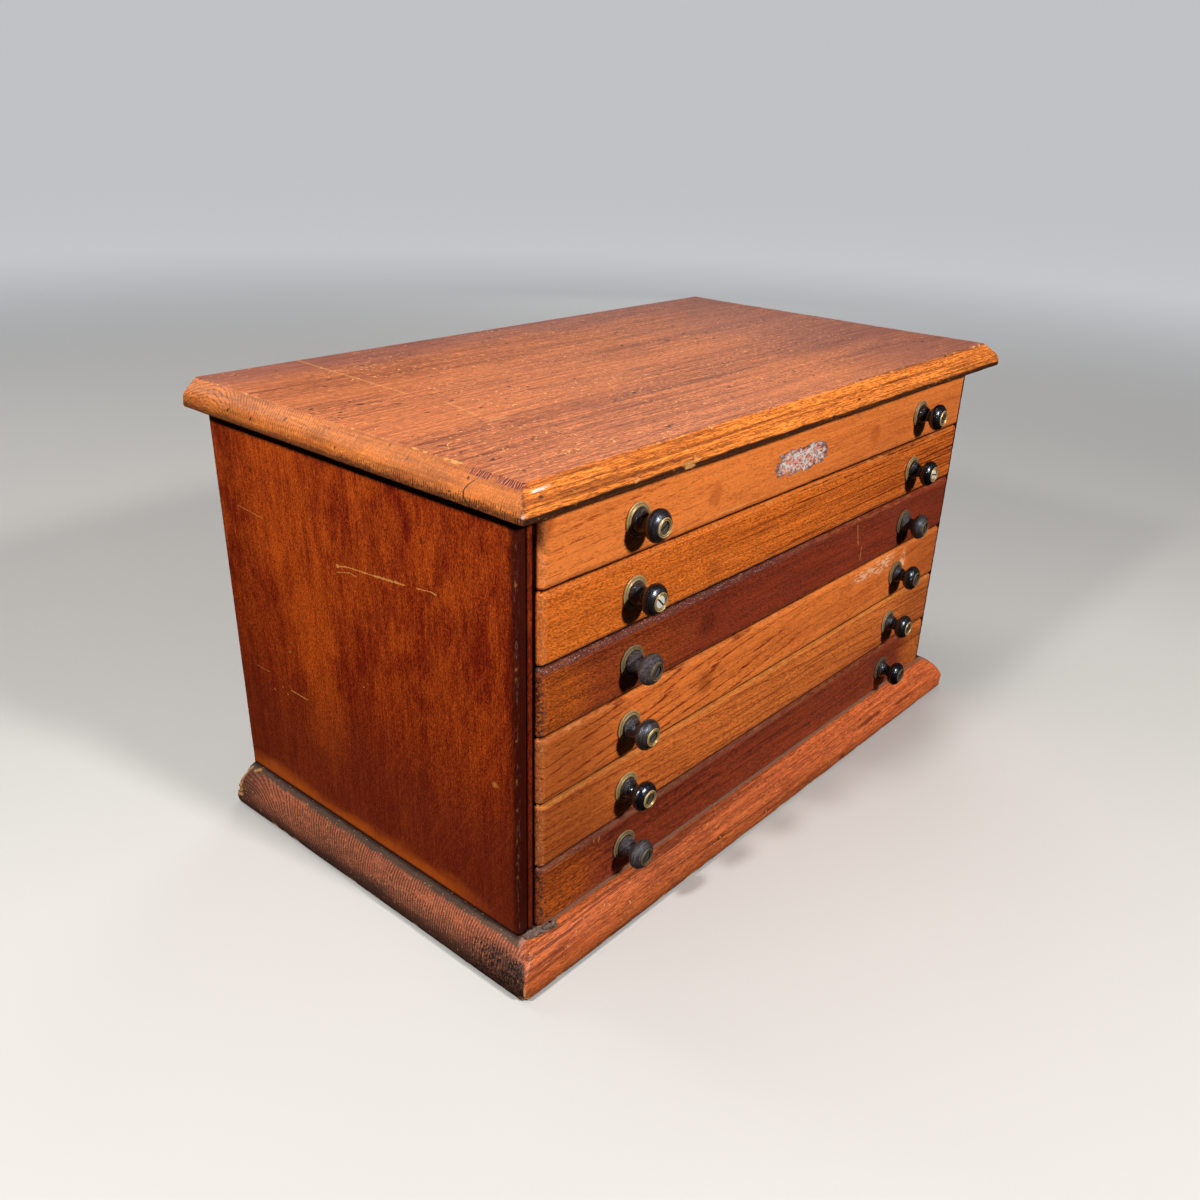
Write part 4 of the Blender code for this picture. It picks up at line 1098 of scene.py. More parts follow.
def build_top_board(sizes, colours):
    """The moulded top: its profile is swept round three sides and the back stays flat."""
    low, high = node_box("top_board")
    foot, head, front = low[2], high[2], low[1]
    thick, arris = head - foot, 0.0142
    shape = softened([(0.06, thick), (0.03, thick), (0.018, thick), (0.0149, thick),
                      (0.0143, thick), (0.0137, thick - 0.0005), (0.011, thick - 0.003),
                      (0.008, thick - 0.0055), (0.0047, thick - 0.0084), (0.002, thick - 0.0118),
                      (0.0005, 0.0066), (0.0, 0.0034), (0.0001, 0.0014), (0.0006, 0.0004),
                      (0.0018, 0.0), (0.006, 0.0), (0.02, 0.0), (0.04, 0.0)])
    inset, level = shape[:, :1], shape[:, 1:]
    points = moulded_lattice(low[:2], high[:2], shape, 0.0016, sizes.top_corner, 0.0)
    points[..., 2] += foot
    normals = lattice_normals(points)
    waves = wander(points, 0.11, 1) + wander(points, 0.024, 2) * 0.45
    moulded = smooth_step(inset, 0.03, 0.012)
    points = points + normals * (waves * moulded * sizes.unevenness)[..., None]

    # A strip of the left moulding is torn off along the grain
    y = points[..., 1]
    torn = smooth_step(y, -0.138, -0.15) * smooth_step(y, -0.198, -0.19)
    torn = torn * (points[..., 0] < low[0] + 0.016)
    torn = torn * smooth_step(np.abs(inset - 0.0124), 0.0028, 0.0016)
    torn = torn * smooth_step(wander(points, 0.016, 7), -1.4, -0.6)
    points = points - normals * (torn * 0.0006)[..., None]
    chips = [(-0.1426, front + arris, head, 0.0035, 0.0022, 0.002, 0.0012),
             (-0.1846, front, foot + 0.005, 0.006, 0.003, 0.0035, 0.0016),
             (-0.176, front, foot + 0.007, 0.003, 0.003, 0.002, 0.001),
             (-0.2434, front, foot + 0.006, 0.0022, 0.003, 0.0022, 0.0008),
             (0.31, front + arris, head, 0.005, 0.0025, 0.002, 0.0013),
             (0.325, front + arris * 0.9, head, 0.0035, 0.0025, 0.002, 0.001),
             (low[0] + arris, -0.13, head, 0.0022, 0.005, 0.002, 0.0012)]
    chips += edge_nicks(40, low, high, arris, head, 0.0014, sizes.chip_depth * 0.4, 4)
    chips += edge_nicks(12, low, high, 0.0012, foot + 0.003, 0.0014, sizes.chip_depth * 0.5, 5)
    points, raw = bitten(points, normals, chips, 6)
    end = side_share(normals) * (inset < arris + 0.0005)
    flat = smooth_step(inset, arris - 0.0009, arris - 0.0001) * (level > thick / 2)
    shell = capped(points, under=smooth_step(level, thick * 0.46, 0.0), end=end, flat=flat,
                   torn=torn, raw=raw * (1 - torn))
    add_piece("top_board_fine", [shell], top_finish(colours), CASE, ["top_board"])


def build_base_board(sizes, colours):
    """The moulded base, swept as the top is, with broken left and back corners."""
    low, high = node_box("base_board")
    thick, left, right, front, back = high[2] - low[2], low[0], high[0], low[1], high[1]
    shape = softened([(0.075, thick), (0.04, thick), (0.025, thick), (0.0192, thick),
                      (0.016, thick - 0.0012), (0.0112, thick - 0.0046), (0.007, thick - 0.0096),
                      (0.0032, thick - 0.0158), (0.0008, thick - 0.0225), (0.0, thick - 0.0285),
                      (0.0003, 0.005), (0.0012, 0.0014), (0.003, 0.0), (0.01, 0.0),
                      (0.03, 0.0), (0.06, 0.0)])
    inset, level = shape[:, :1], shape[:, 1:]
    points = moulded_lattice(low[:2], high[:2], shape, 0.0018, sizes.base_corner, 0.0, 9, 0.75)
    normals = lattice_normals(points)
    waves = wander(points, 0.13, 11) + wander(points, 0.03, 12) * 0.5
    moulded, upper = smooth_step(inset, 0.034, 0.014), smooth_step(level, 0.0, 0.003)
    points = points + normals * (waves * moulded * upper * sizes.unevenness * 1.3)[..., None]
    chips = [(left + 0.008, back - 0.001, thick - 0.006, 0.01, 0.0035, 0.006, 0.0022),
             (left + 0.003, back - 0.003, thick - 0.014, 0.006, 0.0028, 0.008, 0.0016),
             (left + 0.001, back - 0.004, 0.014, 0.004, 0.006, 0.005, 0.002),
             (left, back - 0.06, 0.002, 0.003, 0.006, 0.003, 0.0015),
             (left + 0.0004, front + 0.0004, 0.002, 0.006, 0.006, 0.006, 0.002),
             (right, front, 0.008, 0.005, 0.005, 0.006, 0.0022)]
    chips += edge_nicks(40, low, high, 0.0006, 0.002, 0.0028, sizes.chip_depth * 0.8, 13)
    points, raw = bitten(points, normals, chips, 14, 0.0035)
    points[..., 2] = np.maximum(points[..., 2], 0.0)
    end = side_share(normals) * (inset < 0.0195)
    flat = smooth_step(inset, 0.016, 0.019) * (level > thick / 2)
    cross = np.abs(normals[..., 0] * normals[..., 1]) * 2
    arris = smooth_step(cross, 0.55, 0.9) * smooth_step(level, 0.031, 0.026)
    shell = capped(points, raw=raw, end=end, flat=flat, arris=arris)
    add_piece("base_board_fine", [shell], base_finish(colours), CASE, ["base_board"])


def panel_section(thick, depth, quirk_at, quirk_width, quirk_depth, rabbet):
    """Closed section of a side panel: distance in from the outer face, and back from the front."""
    rise = quirk_at + quirk_width
    back, shelf = depth - rabbet[1], thick - rabbet[0]
    return np.array([
        (0, 0.3), (0, 0.2), (0, 0.1), (0, 0.05), (0, 0.02), (0, 0.008), (0, 0.004),
        (0.00006, 0.0024), (0.0004, 0.0011), (0.001, 0.0004), (0.0019, 0.00008), (0.003, 0),
        (0.005, 0), (0.007, 0), (quirk_at - 0.0009, 0.0), (quirk_at - 0.0004, 0.00012),
        (quirk_at - 0.0001, 0.0005), (quirk_at, 0.0012), (quirk_at + 0.0001, quirk_depth - 0.0002),
        (quirk_at + 0.0004, quirk_depth), (rise - 0.0004, quirk_depth),
        (rise - 0.0001, quirk_depth - 0.0002), (rise, 0.0012), (rise + 0.0001, 0.0005),
        (rise + 0.0004, 0.00012), (rise + 0.0009, 0), (rise + 0.0025, 0), (thick - 0.0018, 0.0),
        (thick - 0.0008, 0.0003), (thick - 0.0002, 0.001), (thick, 0.002), (thick, 0.005),
        (thick, 0.012), (thick, 0.1), (thick, 0.2), (thick, 0.3), (thick, back - 0.0003),
        (thick - 0.0003, back), (shelf + 0.0002, back), (shelf, back + 0.0002),
        (shelf, depth - 0.0004), (shelf - 0.0004, depth), (0.0006, depth), (0, depth - 0.0006)])


def runner_shells(front, inner, tip):
    """The six strips of one panel: each a rounded bar from the panel's inner face to the tip."""
    shape = softened([(0.004, 0), (0.002, 0), (0.0008, 0), (0, 0.0006), (0, 0.0045), (0, 0.0068),
                      (0.001, 0.0078), (0.0022, 0.008), (0.004, 0.008)], 2)
    strips = []
    for number in DRAWERS:
        foot = node_box(f"drawer_{number}_front")[0][2]
        low, high = np.array([(front + 0.0135, foot + 0.0272), (front + 0.3512, foot + 0.0382)])
        bar = moulded_lattice(low, high, shape, 0.012, 0.0006, corner_steps=3)
        across = inner + (tip - inner) * bar[..., 2] / 0.008
        strips.append(capped(np.stack([across, bar[..., 0], bar[..., 1]], axis=-1)))
    return strips


def build_side_panels(sizes, colours):
    """Both panels, each a section carried up along Z, and the runners inside them."""
    finish, thick = side_finish(colours), 0.016
    strip = bare_finish("runner_finish", "Y", (0.42, 0.3), colours, 33, 0.8)
    for label, side in SIDES.items():
        low, high = node_box(f"side_panel_{label}")
        outer, tip, front = (low[0], high[0], low[1]) if side < 0 else (high[0], low[0], low[1])
        section = panel_section(thick, high[1] - low[1], 0.0093, 0.0012, 0.002, (0.008, 0.0083))
        inward, back = section.T
        levels = np.linspace(low[2], high[2], 190)[:, None]
        points = np.empty((len(levels), len(section), 3))
        points[..., 0], points[..., 1], points[..., 2] = outer - side * inward, front + back, levels
        normals = lattice_normals(points)
        near = smooth_step(back, 0.01, 0.0) * (inward < 0.0155)
        arris = smooth_step(np.hypot(inward - 0.0008, back - 0.0008), 0.0032, 0.0008)
        dents = wander(points, 0.012, 31 + side) * 0.5 + wander(points, 0.004, 35 + side) * 0.5
        inside = smooth_step(levels, low[2], low[2] + 0.002)
        inside = inside * smooth_step(levels, high[2], high[2] - 0.002)
        dents = np.clip(dents - 0.25, 0, 1) * arris * inside
        points = points - normals * (dents * 0.0005)[..., None]
        quirk = (back > 0.001) * (back < 0.003) * (inward > 0.008) * (inward < 0.0115)
        chance = np.random.default_rng(37 + side)
        chips = [(outer, front + 0.0005, z, 0.001, 0.0012, 0.0016, 0.0005)
                 for z in chance.uniform(low[2] + 0.01, high[2] - 0.01, 14)]
        points, raw = bitten(points, normals, chips, 38)
        shell = capped(points, front_edge=near, arris=arris, quirk=quirk, raw=raw * 0.35)
        node = f"side_panel_{label}"
        add_piece(f"{node}_fine", [shell], finish, CASE, [node], 50)
        strips = runner_shells(front, outer - side * thick, tip)
        add_piece(f"runners_{label}", strips, strip, CASE, [node])


def front_block(low, high, face_depth, bottom_low, bottom_high, half_width, groove):
    """Back part of a front: a section in depth and height, notched for the bottom, along X."""
    start, end = low[1] + face_depth, high[1]
    foot, head = low[2] + 0.0004, high[2] - 0.0004
    section = [(start, foot), (start, head), (end, head), (end, bottom_high),
               (end - groove, bottom_high), (end - groove, bottom_low), (end, bottom_low),
               (end, foot)]
    points = np.empty((24, len(section), 3))
    points[..., 0] = np.linspace(-half_width, half_width, len(points))[:, None]
    points[..., 1:] = np.array(section)
    return capped(points)


# How much further in each front's left end stands than the opening's side
END_GAPS = {1: 0.0019, 2: 0.0011, 3: 0.0009, 4: 0.0004, 5: 0.0004, 6: 0.0004}


def build_drawer_fronts(sizes, colours):
    """Each front: a face that is rounded over on four sides, and the block behind it."""
    r, lip = sizes.front_round, 0.01
    shape = softened([(0.022, 0), (0.013, 0), (r * 1.5, 0), (r * 1.12, 0), (r * 0.72, r * 0.06),
                      (r * 0.36, r * 0.28), (r * 0.12, r * 0.62), (0.0, r * 1.05), (0.0, r * 1.4),
                      (0.0, lip - 0.0003), (0.0004, lip), (0.004, lip), (0.012, lip),
                      (0.02, lip)])
    inset, depth = shape[:, :1], shape[:, 1:]
    for number in DRAWERS:
        name = f"drawer_{number}_front"
        low, high = node_box(name)
        near = low[[0, 2]] + (END_GAPS[number], 0.0)
        local = moulded_lattice(near, high[[0, 2]], shape, 0.002, sizes.front_corner)
        points = np.stack([local[..., 0], low[1] + local[..., 2], local[..., 1]], axis=-1)
        normals = lattice_normals(points)
        rounding = smooth_step(inset, 0.009, 0.002) * smooth_step(depth, r * 1.6, r * 0.8)
        wear = wander(points, 0.035, 40 + number) + wander(points, 0.009, 50 + number) * 0.5
        wear = np.clip(0.4 + wear, 0, 3) * rounding * sizes.unevenness * 0.9
        points = points - normals * wear[..., None]
        chance = np.random.default_rng(60 + number)
        chips = []
        for _ in range(9):
            z = high[2] - 0.0015 if chance.random() < 0.7 else low[2] + 0.0012
            chips.append((chance.uniform(low[0] + 0.01, high[0] - 0.01), low[1] + 0.0015, z,
                          chance.uniform(0.002, 0.006), 0.002, 0.0018,
                          chance.uniform(0.0002, 0.0006)))
        points, raw = bitten(points, normals, chips, 70 + number)
        rim = smooth_step(inset, r * 1.15, r * 0.5) * smooth_step(depth, r, r * 0.4)
        from_end = np.minimum(points[..., 0] - near[0], high[0] - points[..., 0])
        joint = smooth_step(depth, r * 0.55, r * 0.85) * (from_end > 0.0022)
        joint = np.maximum(joint, smooth_step(depth, 0.0062, 0.0074))
        face = capped(points, raw=raw * 0.7, rim=rim, end=smooth_step(from_end, 0.006, 0.0015),
                      joint=joint)
        block = front_block(low, high, 0.009, low[2] + 0.0082, low[2] + 0.0138, 0.3037, 0.004)
        add_piece(f"{name}_fine", [face, block], front_finish(number, colours),
                  f"drawer_{number}", [name])


def nail_heads(places, radius, axis, sign):
    """Low domed heads: a small outline turned round each nail, then laid on the given axis."""
    outline = [(0, -0.0006), (radius * 0.9, -0.0006), (radius, 0.0), (radius * 0.92, 0.0003),
               (radius * 0.5, 0.0006), (0, 0.0007)]
    head = turned(outline, 14, (0, 0, 0))
    rest = [k for k in range(3) if k != axis]
    points = np.zeros_like(head.points)
    points[:, axis], points[:, rest] = -head.points[:, 1] * sign, head.points[:, [0, 2]]
    return [Shell(points + place, head.faces) for place in places]


def paint_node(name, material):
    """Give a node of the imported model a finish."""
    piece = bpy.data.objects[name]
    for slot in piece.material_slots:
        slot.link = "OBJECT"
        slot.material = material


def build_drawer_boxes(sizes, colours):
    """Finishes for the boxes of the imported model, and nails through their sides."""
    nail = steel_finish("nail_finish", colours, False, 44)
    for number, aged in zip(DRAWERS, (1.0, 0.92, 0.97, 0.88, 0.95, 0.84)):
        name = f"drawer_{number}"
        low, high = node_box(f"{name}_side_left")
        rims = (low[2], high[2])
        sides = bare_finish(f"{name}_side_finish", "Y", (0.6 + number * 0.03, 0.7), colours,
                            140 + number, aged, rims)
        back = bare_finish(f"{name}_back_finish", "X", (0.4, 0.55 + number * 0.02), colours,
                           150 + number, aged, rims)
        bottom = bare_finish(f"{name}_bottom_finish", "X", (0.35, 0.62), colours, 160 + number,
                             aged * 0.9)
        paint_node(f"{name}_back", back)
        paint_node(f"{name}_bottom", bottom)
        heads = []
        for label, side in SIDES.items():
            paint_node(f"{name}_side_{label}", sides)
            low, high = node_box(f"{name}_side_{label}")
            face = high[0] if side > 0 else low[0]
            places = [(face, high[1] - 0.0052, low[2] + rise) for rise in (0.017, 0.0405)]
            heads += nail_heads(places, sizes.nail_radius * 0.6, 0, side)
        add_piece(f"{name}_nails", heads, nail, name)


def build_back_panel(sizes, colours):
    """A finish for the back panel, and a row of nails along each of its edges."""
    low, high = node_box("back_panel")
    wood = bare_finish("back_panel_finish", "X", (0.75, 0.85), colours, 51, (0.76, 0.6, 0.47))
    paint_node("back_panel", wood)
    xs = np.linspace(low[0] + 0.018, high[0] - 0.018, 7)
    zs = np.linspace(low[2] + 0.05, high[2] - 0.05, 4)
    places = [(x, high[1], z) for x in xs for z in (low[2] + 0.011, high[2] - 0.011)]
    places += [(x, high[1], z) for x in (low[0] + 0.0045, high[0] - 0.0045) for z in zs]
    nail = steel_finish("back_nail_finish", colours, False, 52)
    heads = nail_heads(places, sizes.nail_radius, 1, 1)
    add_piece("back_nails", heads, nail, CASE)


# Radius and height of a knob's lower parts
KNOB_SPIGOT = [(0, 0.0003), (0.004, 0.0003), (0.004, 0.002)]
KNOB_FOOT = [(0.0088, 0.002), (0.0091, 0.0023), (0.0091, 0.0031), (0.0087, 0.0042),
             (0.0077, 0.006), (0.0066, 0.008), (0.0059, 0.0098), (0.0057, 0.0108),
             (0.0062, 0.0118)]


def knob_outline():
    """Spigot, flared foot, neck, ball as an ellipse's arc, ferrule's seat and screw hole."""
    middle, reach, radius, ring = 0.0193, 0.0075, 0.0127, 0.0077
    angle = np.linspace(-math.acos(0.0068 / radius), math.acos(ring / radius), 22)
    ball = np.column_stack([radius * np.cos(angle), middle + reach * np.sin(angle)])
    front = middle + reach * math.sin(math.acos(ring / radius))
    hole = [(ring - 0.0002, front - 0.001), (0.006, front - 0.0014), (0.0053, front - 0.0016),
            (0.0053, front - 0.0026), (0.0, front - 0.0026)]
    return np.vstack([KNOB_SPIGOT, softened(KNOB_FOOT, 2), ball, hole]), front


# How far age has dulled each drawer's rosettes and ferrules, left and right
DULLED = {1: (0.0, 0.45), 2: (0.1, 0.4), 3: (0.7, 0.85), 4: (0.25, 0.65), 5: (0.1, 0.4),
          6: (0.65, 0.9)}


def ferrule_outline(front):
    """Closed ring: a broad outer bead, a groove, a narrow inner bead and its deep cup's wall."""
    t = np.linspace(0, 1, 33)
    radius = 0.0077 - t * (0.0077 - 0.005)
    outer = np.abs(np.sin(t * np.pi / 0.5)) ** 0.6 * 0.0009
    inner = np.abs(np.sin(np.clip(t - 0.62, 0, 1) * np.pi / 0.38)) ** 0.8 * 0.0006
    top = np.column_stack([radius, front - 0.0002 + np.where(t < 0.5, outer, inner)])
    return np.vstack([top, [(0.0049, front - 0.0012), (0.0049, front - 0.002),
                            (0.0052, front - 0.0021), (0.0055, front - 0.0012),
                            (0.0075, front - 0.0008)]])


def screw_shell(centre, level, radius, slot_width, slot_depth, tilt):
    """Slotted head: a slice at each distance across the slot spans its chord, sunk in the slot."""
    w = slot_width / 2 / radius
    across = np.concatenate([-np.cos(np.linspace(0.12, 1.35, 7)), [-w * 1.12, -w, w, w * 1.12]])
    across = np.unique(np.concatenate([across, -across[:7]]))
    u, v = np.meshgrid(across, np.linspace(-1, 1, 9), indexing="ij")
    chord = np.sqrt(np.maximum(1 - u * u, 0.0))
    in_slot = np.abs(u) <= w * 1.01
    top = level + 0.0004 * (1 - u * u - (v * chord) ** 2) - in_slot * slot_depth
    turn = np.array([[math.cos(tilt), -math.sin(tilt)], [math.sin(tilt), math.cos(tilt)]])
    flat = np.stack([u * radius, v * chord * radius], axis=-1) @ turn.T
    heads = [np.stack([centre[0] + flat[..., 0], centre[1] - h, centre[2] + flat[..., 1]],
                      axis=-1).reshape(-1, 3) for h in (top, np.full_like(top, level - 0.0016))]
    index = np.arange(u.size).reshape(u.shape)
    corners = (index[:-1, :-1], index[1:, :-1], index[1:, 1:], index[:-1, 1:])
    quads = np.stack(corners, axis=-1).reshape(-1, 4)
    border = np.concatenate([index[:, 0], index[-1, 1:], index[-2::-1, -1], index[0, -2:0:-1]])
    after, lower = np.roll(border, -1), u.size
    wall = np.column_stack([after, border, border + lower, after + lower])
    slot = np.concatenate([in_slot.ravel() * 1.0, np.zeros(lower)])
    return Shell(np.vstack(heads), [quads, quads[:, ::-1] + lower, wall], slot=slot)


# Tilt of each knob's screw slot in degrees, whether the screw is bright, how matt the polish is
KNOB_STATES = {
    (1, "left"): (-62, False, 0.1), (1, "right"): (65, False, 0.0),
    (2, "left"): (46, True, 0.05), (2, "right"): (80, True, 0.0),
    (3, "left"): (-40, False, 1.0), (3, "right"): (15, False, 0.4),
    (4, "left"): (-70, False, 0.2), (4, "right"): (-20, False, 0.05),
    (5, "left"): (-32, False, 0.0), (5, "right"): (35, False, 0.05),
    (6, "left"): (-40, False, 0.55), (6, "right"): (70, False, 0.0)}


def knob_place(number, label):
    """Where a knob's axis meets the drawer's face."""
    low, high = node_box(f"drawer_{number}_rosette_{label}")
    face = node_box(f"drawer_{number}_front")[0][1]
    return np.array(((low[0] + high[0]) / 2, face, (low[2] + high[2]) / 2))


def build_knobs(sizes, colours):
    """Twelve turned knobs, each with its ferrule and its sunk screw."""
    blacks = {matt: black_finish(f"knob_polish_{round(matt * 100)}", colours, matt,
                                 80 + round(matt * 10))
              for matt in sorted({state[2] for state in KNOB_STATES.values()})}
    steels = {bright: steel_finish(f"{word}_screw_finish", colours, bright, 90 + bright)
              for bright, word in ((False, "brown"), (True, "bright"))}
    brasses = {dull: brass_finish(f"ferrule_finish_{word}", colours, 92 + dull, 0.85 * dull)
               for dull, word in ((False, "clean"), (True, "dull"))}
    outline, front = knob_outline()
    rub = smooth_step(outline[:, 1], front - 0.003, front - 0.0005)
    rub = np.clip(rub + smooth_step(outline[:, 0], 0.0118, 0.0125) * 0.5, 0, 1)
    foot = smooth_step(outline[:, 1], 0.0095, 0.0045)
    ring = ferrule_outline(front)
    hollow = smooth_step(ring[:, 1], front + 0.0003, front - 0.0001)
    hollow = hollow * np.where(ring[:, 0] > 0.00535, 1.0, 0.88)
    for (number, label), (tilt, bright, matt) in KNOB_STATES.items():
        body, centre = f"drawer_{number}", knob_place(number, label)
        name = f"{body}_knob_{label}"
        level = front - (0.0003 if bright else 0.0012)
        knob = turned(outline, 64, centre, rub=rub, foot=foot)
        ferrule = turned(ring, 48, centre, closed=True, hollow=hollow)
        screw = screw_shell(centre, level, 0.00475, sizes.slot_width, 0.0007, math.radians(tilt))
        brass = brasses[DULLED[number][label == "right"] > 0.5]
        add_piece(f"{name}_turned", [knob], blacks[matt], body, [name], 35)
        add_piece(f"{name}_ferrule", [ferrule], brass, body, [name], 60)
        add_piece(f"{name}_screw", [screw], steels[bright], body, [name], 30)


def rosette_outline(line):
    """Closed ring: hole, back, rim, a slope with three turned ridges, and the knob's seat."""
    t = np.linspace(0, 1, 61)
    radius = 0.0132 - t * (0.0132 - 0.0096)
    ridge = np.abs(np.sin(np.interp(t, (0, 0.46, 0.76, 1), (0.5, 1, 2, 3)) * np.pi)) ** 0.6
    rise = 0.0014 + 0.001 * np.sin(t * np.pi * 0.5) + line * (ridge - 1)
    back = [(0.0043, 0.0003), (0.0131, 0.0003), (0.0134, 0.0005), (0.0134, 0.0011)]
    seat = [(0.0094, 0.0023), (0.0093, 0.002), (0.0093, 0.0016), (0.0091, 0.0014),
            (0.0043, 0.0014)]
    outline = np.vstack([back, np.column_stack([radius, rise]), seat])
    return outline, np.concatenate([[0.6, 0.3, 0, 0], 1 - ridge, np.ones(len(seat))])


def build_rosettes(sizes, colours):
    """Twelve turned brass rings behind the knobs."""
    outline, hollow = rosette_outline(sizes.rosette_line)
    for number in DRAWERS:
        body = f"drawer_{number}"
        for label, dull in zip(SIDES, DULLED[number]):
            name = f"{body}_rosette_{label}"
            brass = brass_finish(f"rosette_{number}_{label}_finish", colours, 100 + number, dull)
            ring = turned(outline, 64, knob_place(number, label), closed=True, hollow=hollow)
            add_piece(f"{name}_turned", [ring], brass, body, [name], 60)


def scrap_shell(centre, ways, size, thick, seed, power=4.0, curl=0.0004):
    """A torn scrap: rings of a squared ellipse with a ragged radius, its top and its underside.

    ways are the directions of its width, its height and its thickness.
    """
    angle = np.linspace(0, 2 * np.pi, 360, endpoint=False)
    width, height = size
    radius = np.abs(np.cos(angle) / width) ** power + np.abs(np.sin(angle) / height) ** power
    radius = radius ** (-1 / power)
    rim = np.column_stack([radius * np.cos(angle), radius * np.sin(angle), np.zeros_like(angle)])
    bites = wander(rim, height * 0.9, seed) * 0.1 + wander(rim, height * 0.25, seed + 1) * 0.07
    radius = radius * (0.92 + np.clip(bites, -0.3, 0.08))
    shares = np.concatenate([[0.0], np.linspace(0.1, 1.0, 18), np.linspace(1.0, 0.1, 5), [0.0]])
    share = shares[:, None]
    lift = np.concatenate([np.full(19, thick), np.zeros(6)])[:, None]
    curled = np.clip(wander(rim, width * 0.5, seed + 2), 0, 1) * curl
    local = (share * radius * np.cos(angle), share * radius * np.sin(angle),
             lift + smooth_step(share, 0.7, 1.0) * curled)
    points = centre + sum(part[..., None] * np.array(way) for part, way in zip(local, ways))
    return poled(points, torn=shares)


def build_scraps(sizes, colours):
    """The torn paper on the top drawer, and two clumps of dust on the base board."""
    face = node_box("drawer_1_front")[0][1]
    ledge, side_front = node_box("base_board")[1][2], node_box("side_panel_left")[0][1]
    upright = ((1, 0, 0), (0, 0, 1), (0, -1, 0))
    level = ((0.97, -0.24, 0), (0.24, 0.97, 0), (0, 0, 1))
    scrap = scrap_shell(np.array((0.0015, face - 0.00005, 0.3515)), upright,
                        (sizes.label_width / 2, sizes.label_height / 2), 0.00016, 120)
    clumps = [scrap_shell(np.array((-0.32, side_front - 0.0068, ledge)), level,
                          (0.0125, 0.0042), 0.001, 131, 2.4, 0.0012),
              scrap_shell(np.array((-0.3085, side_front - 0.0095, ledge + 0.0004)), level,
                          (0.007, 0.0034), 0.0008, 141, 2.2, 0.0022)]
    paper = paper_finish(colours)
    add_piece("label_remnant", [scrap], paper, "drawer_1")
    add_piece("dust_clump", clumps, dust_finish(colours), CASE)


def side_share(normals):
    """How far a surface faces along X rather than along Y, as a crisp 0 to 1."""
    across = np.abs(normals[..., 0])
    return smooth_step(across / (across + np.abs(normals[..., 1]) + 1e-9), 0.44, 0.56)


def build_stage(sizes, colours):
    """A floor that the camera alone sees, pale air and six disc lamps."""
    scene = bpy.context.scene
    # A round floor that curves up into a wall far behind
    outline = softened([(0, 0), (6, 0), (12, 0), (14, 1), (14.5, 5), (14.5, 9)], 3)
    angle = np.linspace(0, 2 * np.pi, 96, endpoint=False)
    rings = outline[1:, :1, None] * np.stack([np.cos(angle), np.sin(angle)])[None]
    flat = rings.transpose(0, 2, 1).reshape(-1, 2)
    points = np.column_stack([flat, np.repeat(outline[1:, 1], 96)])
    column = np.arange(96)
    middle = np.column_stack([column, np.roll(column, -1), np.full(96, len(points))])
    quads = lattice(len(outline) - 1, 96)
    mesh = bpy.data.meshes.new("studio_floor")
    mesh.from_pydata(np.vstack([points, (0.0, 0.0, 0.0)]), [], middle.tolist() + quads.tolist())
    mesh.materials.append(floor_finish(colours))
    floor = bpy.data.objects.new("studio_floor", mesh)
    scene.collection.objects.link(floor)
    floor.visible_diffuse = floor.visible_glossy = floor.visible_shadow = False

    # Air above the horizon is pale, and nothing shines from below it
    air = Paint("studio_air", kind="worlds", space="Generated")
    above = {"Value": air.split()[2], "From Min": -0.25, "From Max": -0.06, "To Max": 0.054}
    rise = air.node("ShaderNodeMapRange", None, above)
    pale_blue = {"Color": (0.66, 0.82, 1.0, 1.0), "Strength": rise}
    sky = air.node("ShaderNodeBackground", None, pale_blue)
    air.node("ShaderNodeOutputWorld", None, {"Surface": sky})
    scene.world = air.owner

    # Azimuth from the front and elevation in degrees, distance, width, and power in watts
    lamps = {"right_lamp": (-3, 32, 2.2, 0.2, 46.5), "left_lamp": (-90, 36, 1.6, 0.15, 17.6),
             "top_lamp": (-112, 78, 3.2, 1.6, 16.5), "sheen_lamp": (130, 14, 3.0, 1.6, 2.2),
             "far_right_lamp": (125, 48, 2.4, 1.0, 10.0), "back_lamp": (192, 35, 2.4, 0.9, 12.0)}
    aim = np.array((-0.02, -0.1, 0.24))
    for name, (azimuth, elevation, distance, size, power) in lamps.items():
        turn, rise = math.radians(azimuth), math.radians(elevation)
        level = math.cos(rise)
        way = np.array((math.sin(turn) * level, -math.cos(turn) * level, math.sin(rise)))
        data = bpy.data.lights.new(name, "AREA")
        data.shape, data.size, data.energy, data.color = "DISK", size, power, (1.0, 0.98, 0.95)
        light = bpy.data.objects.new(name, data)
        light.rotation_mode = "QUATERNION"
        light.rotation_quaternion = Vector(-way).to_track_quat("-Z", "Y")
        light.location = aim + way * distance
        scene.collection.objects.link(light)
    scene.view_settings.view_transform = "Standard"
    scene.view_settings.look = "None"


def build_camera(sizes, colours):
    """The photograph's camera, from a least-squares fit of points on the cabinet."""
    right = (0.65201548, -0.75745195, 0.03379876)
    down = (-0.31374511, -0.31011722, -0.89743597)
    ahead = (0.69024621, 0.57453795, -0.43984807)
    data = bpy.data.cameras.new("photo_camera")
    data.sensor_width, data.lens = 36.0, 32.502
    data.shift_x, data.shift_y = -0.01488, 0.03058
    data.clip_start, data.clip_end = 0.05, 60
    camera = bpy.data.objects.new("photo_camera", data)
    turn = Matrix((right, [-v for v in down], [-v for v in ahead])).transposed()
    camera.rotation_mode = "QUATERNION"
    camera.rotation_quaternion = turn.to_quaternion()
    camera.location = (-0.78708, -0.64596, 0.61601)
    bpy.context.scene.collection.objects.link(camera)
    bpy.context.scene.camera = camera


# Operators, panel and registration

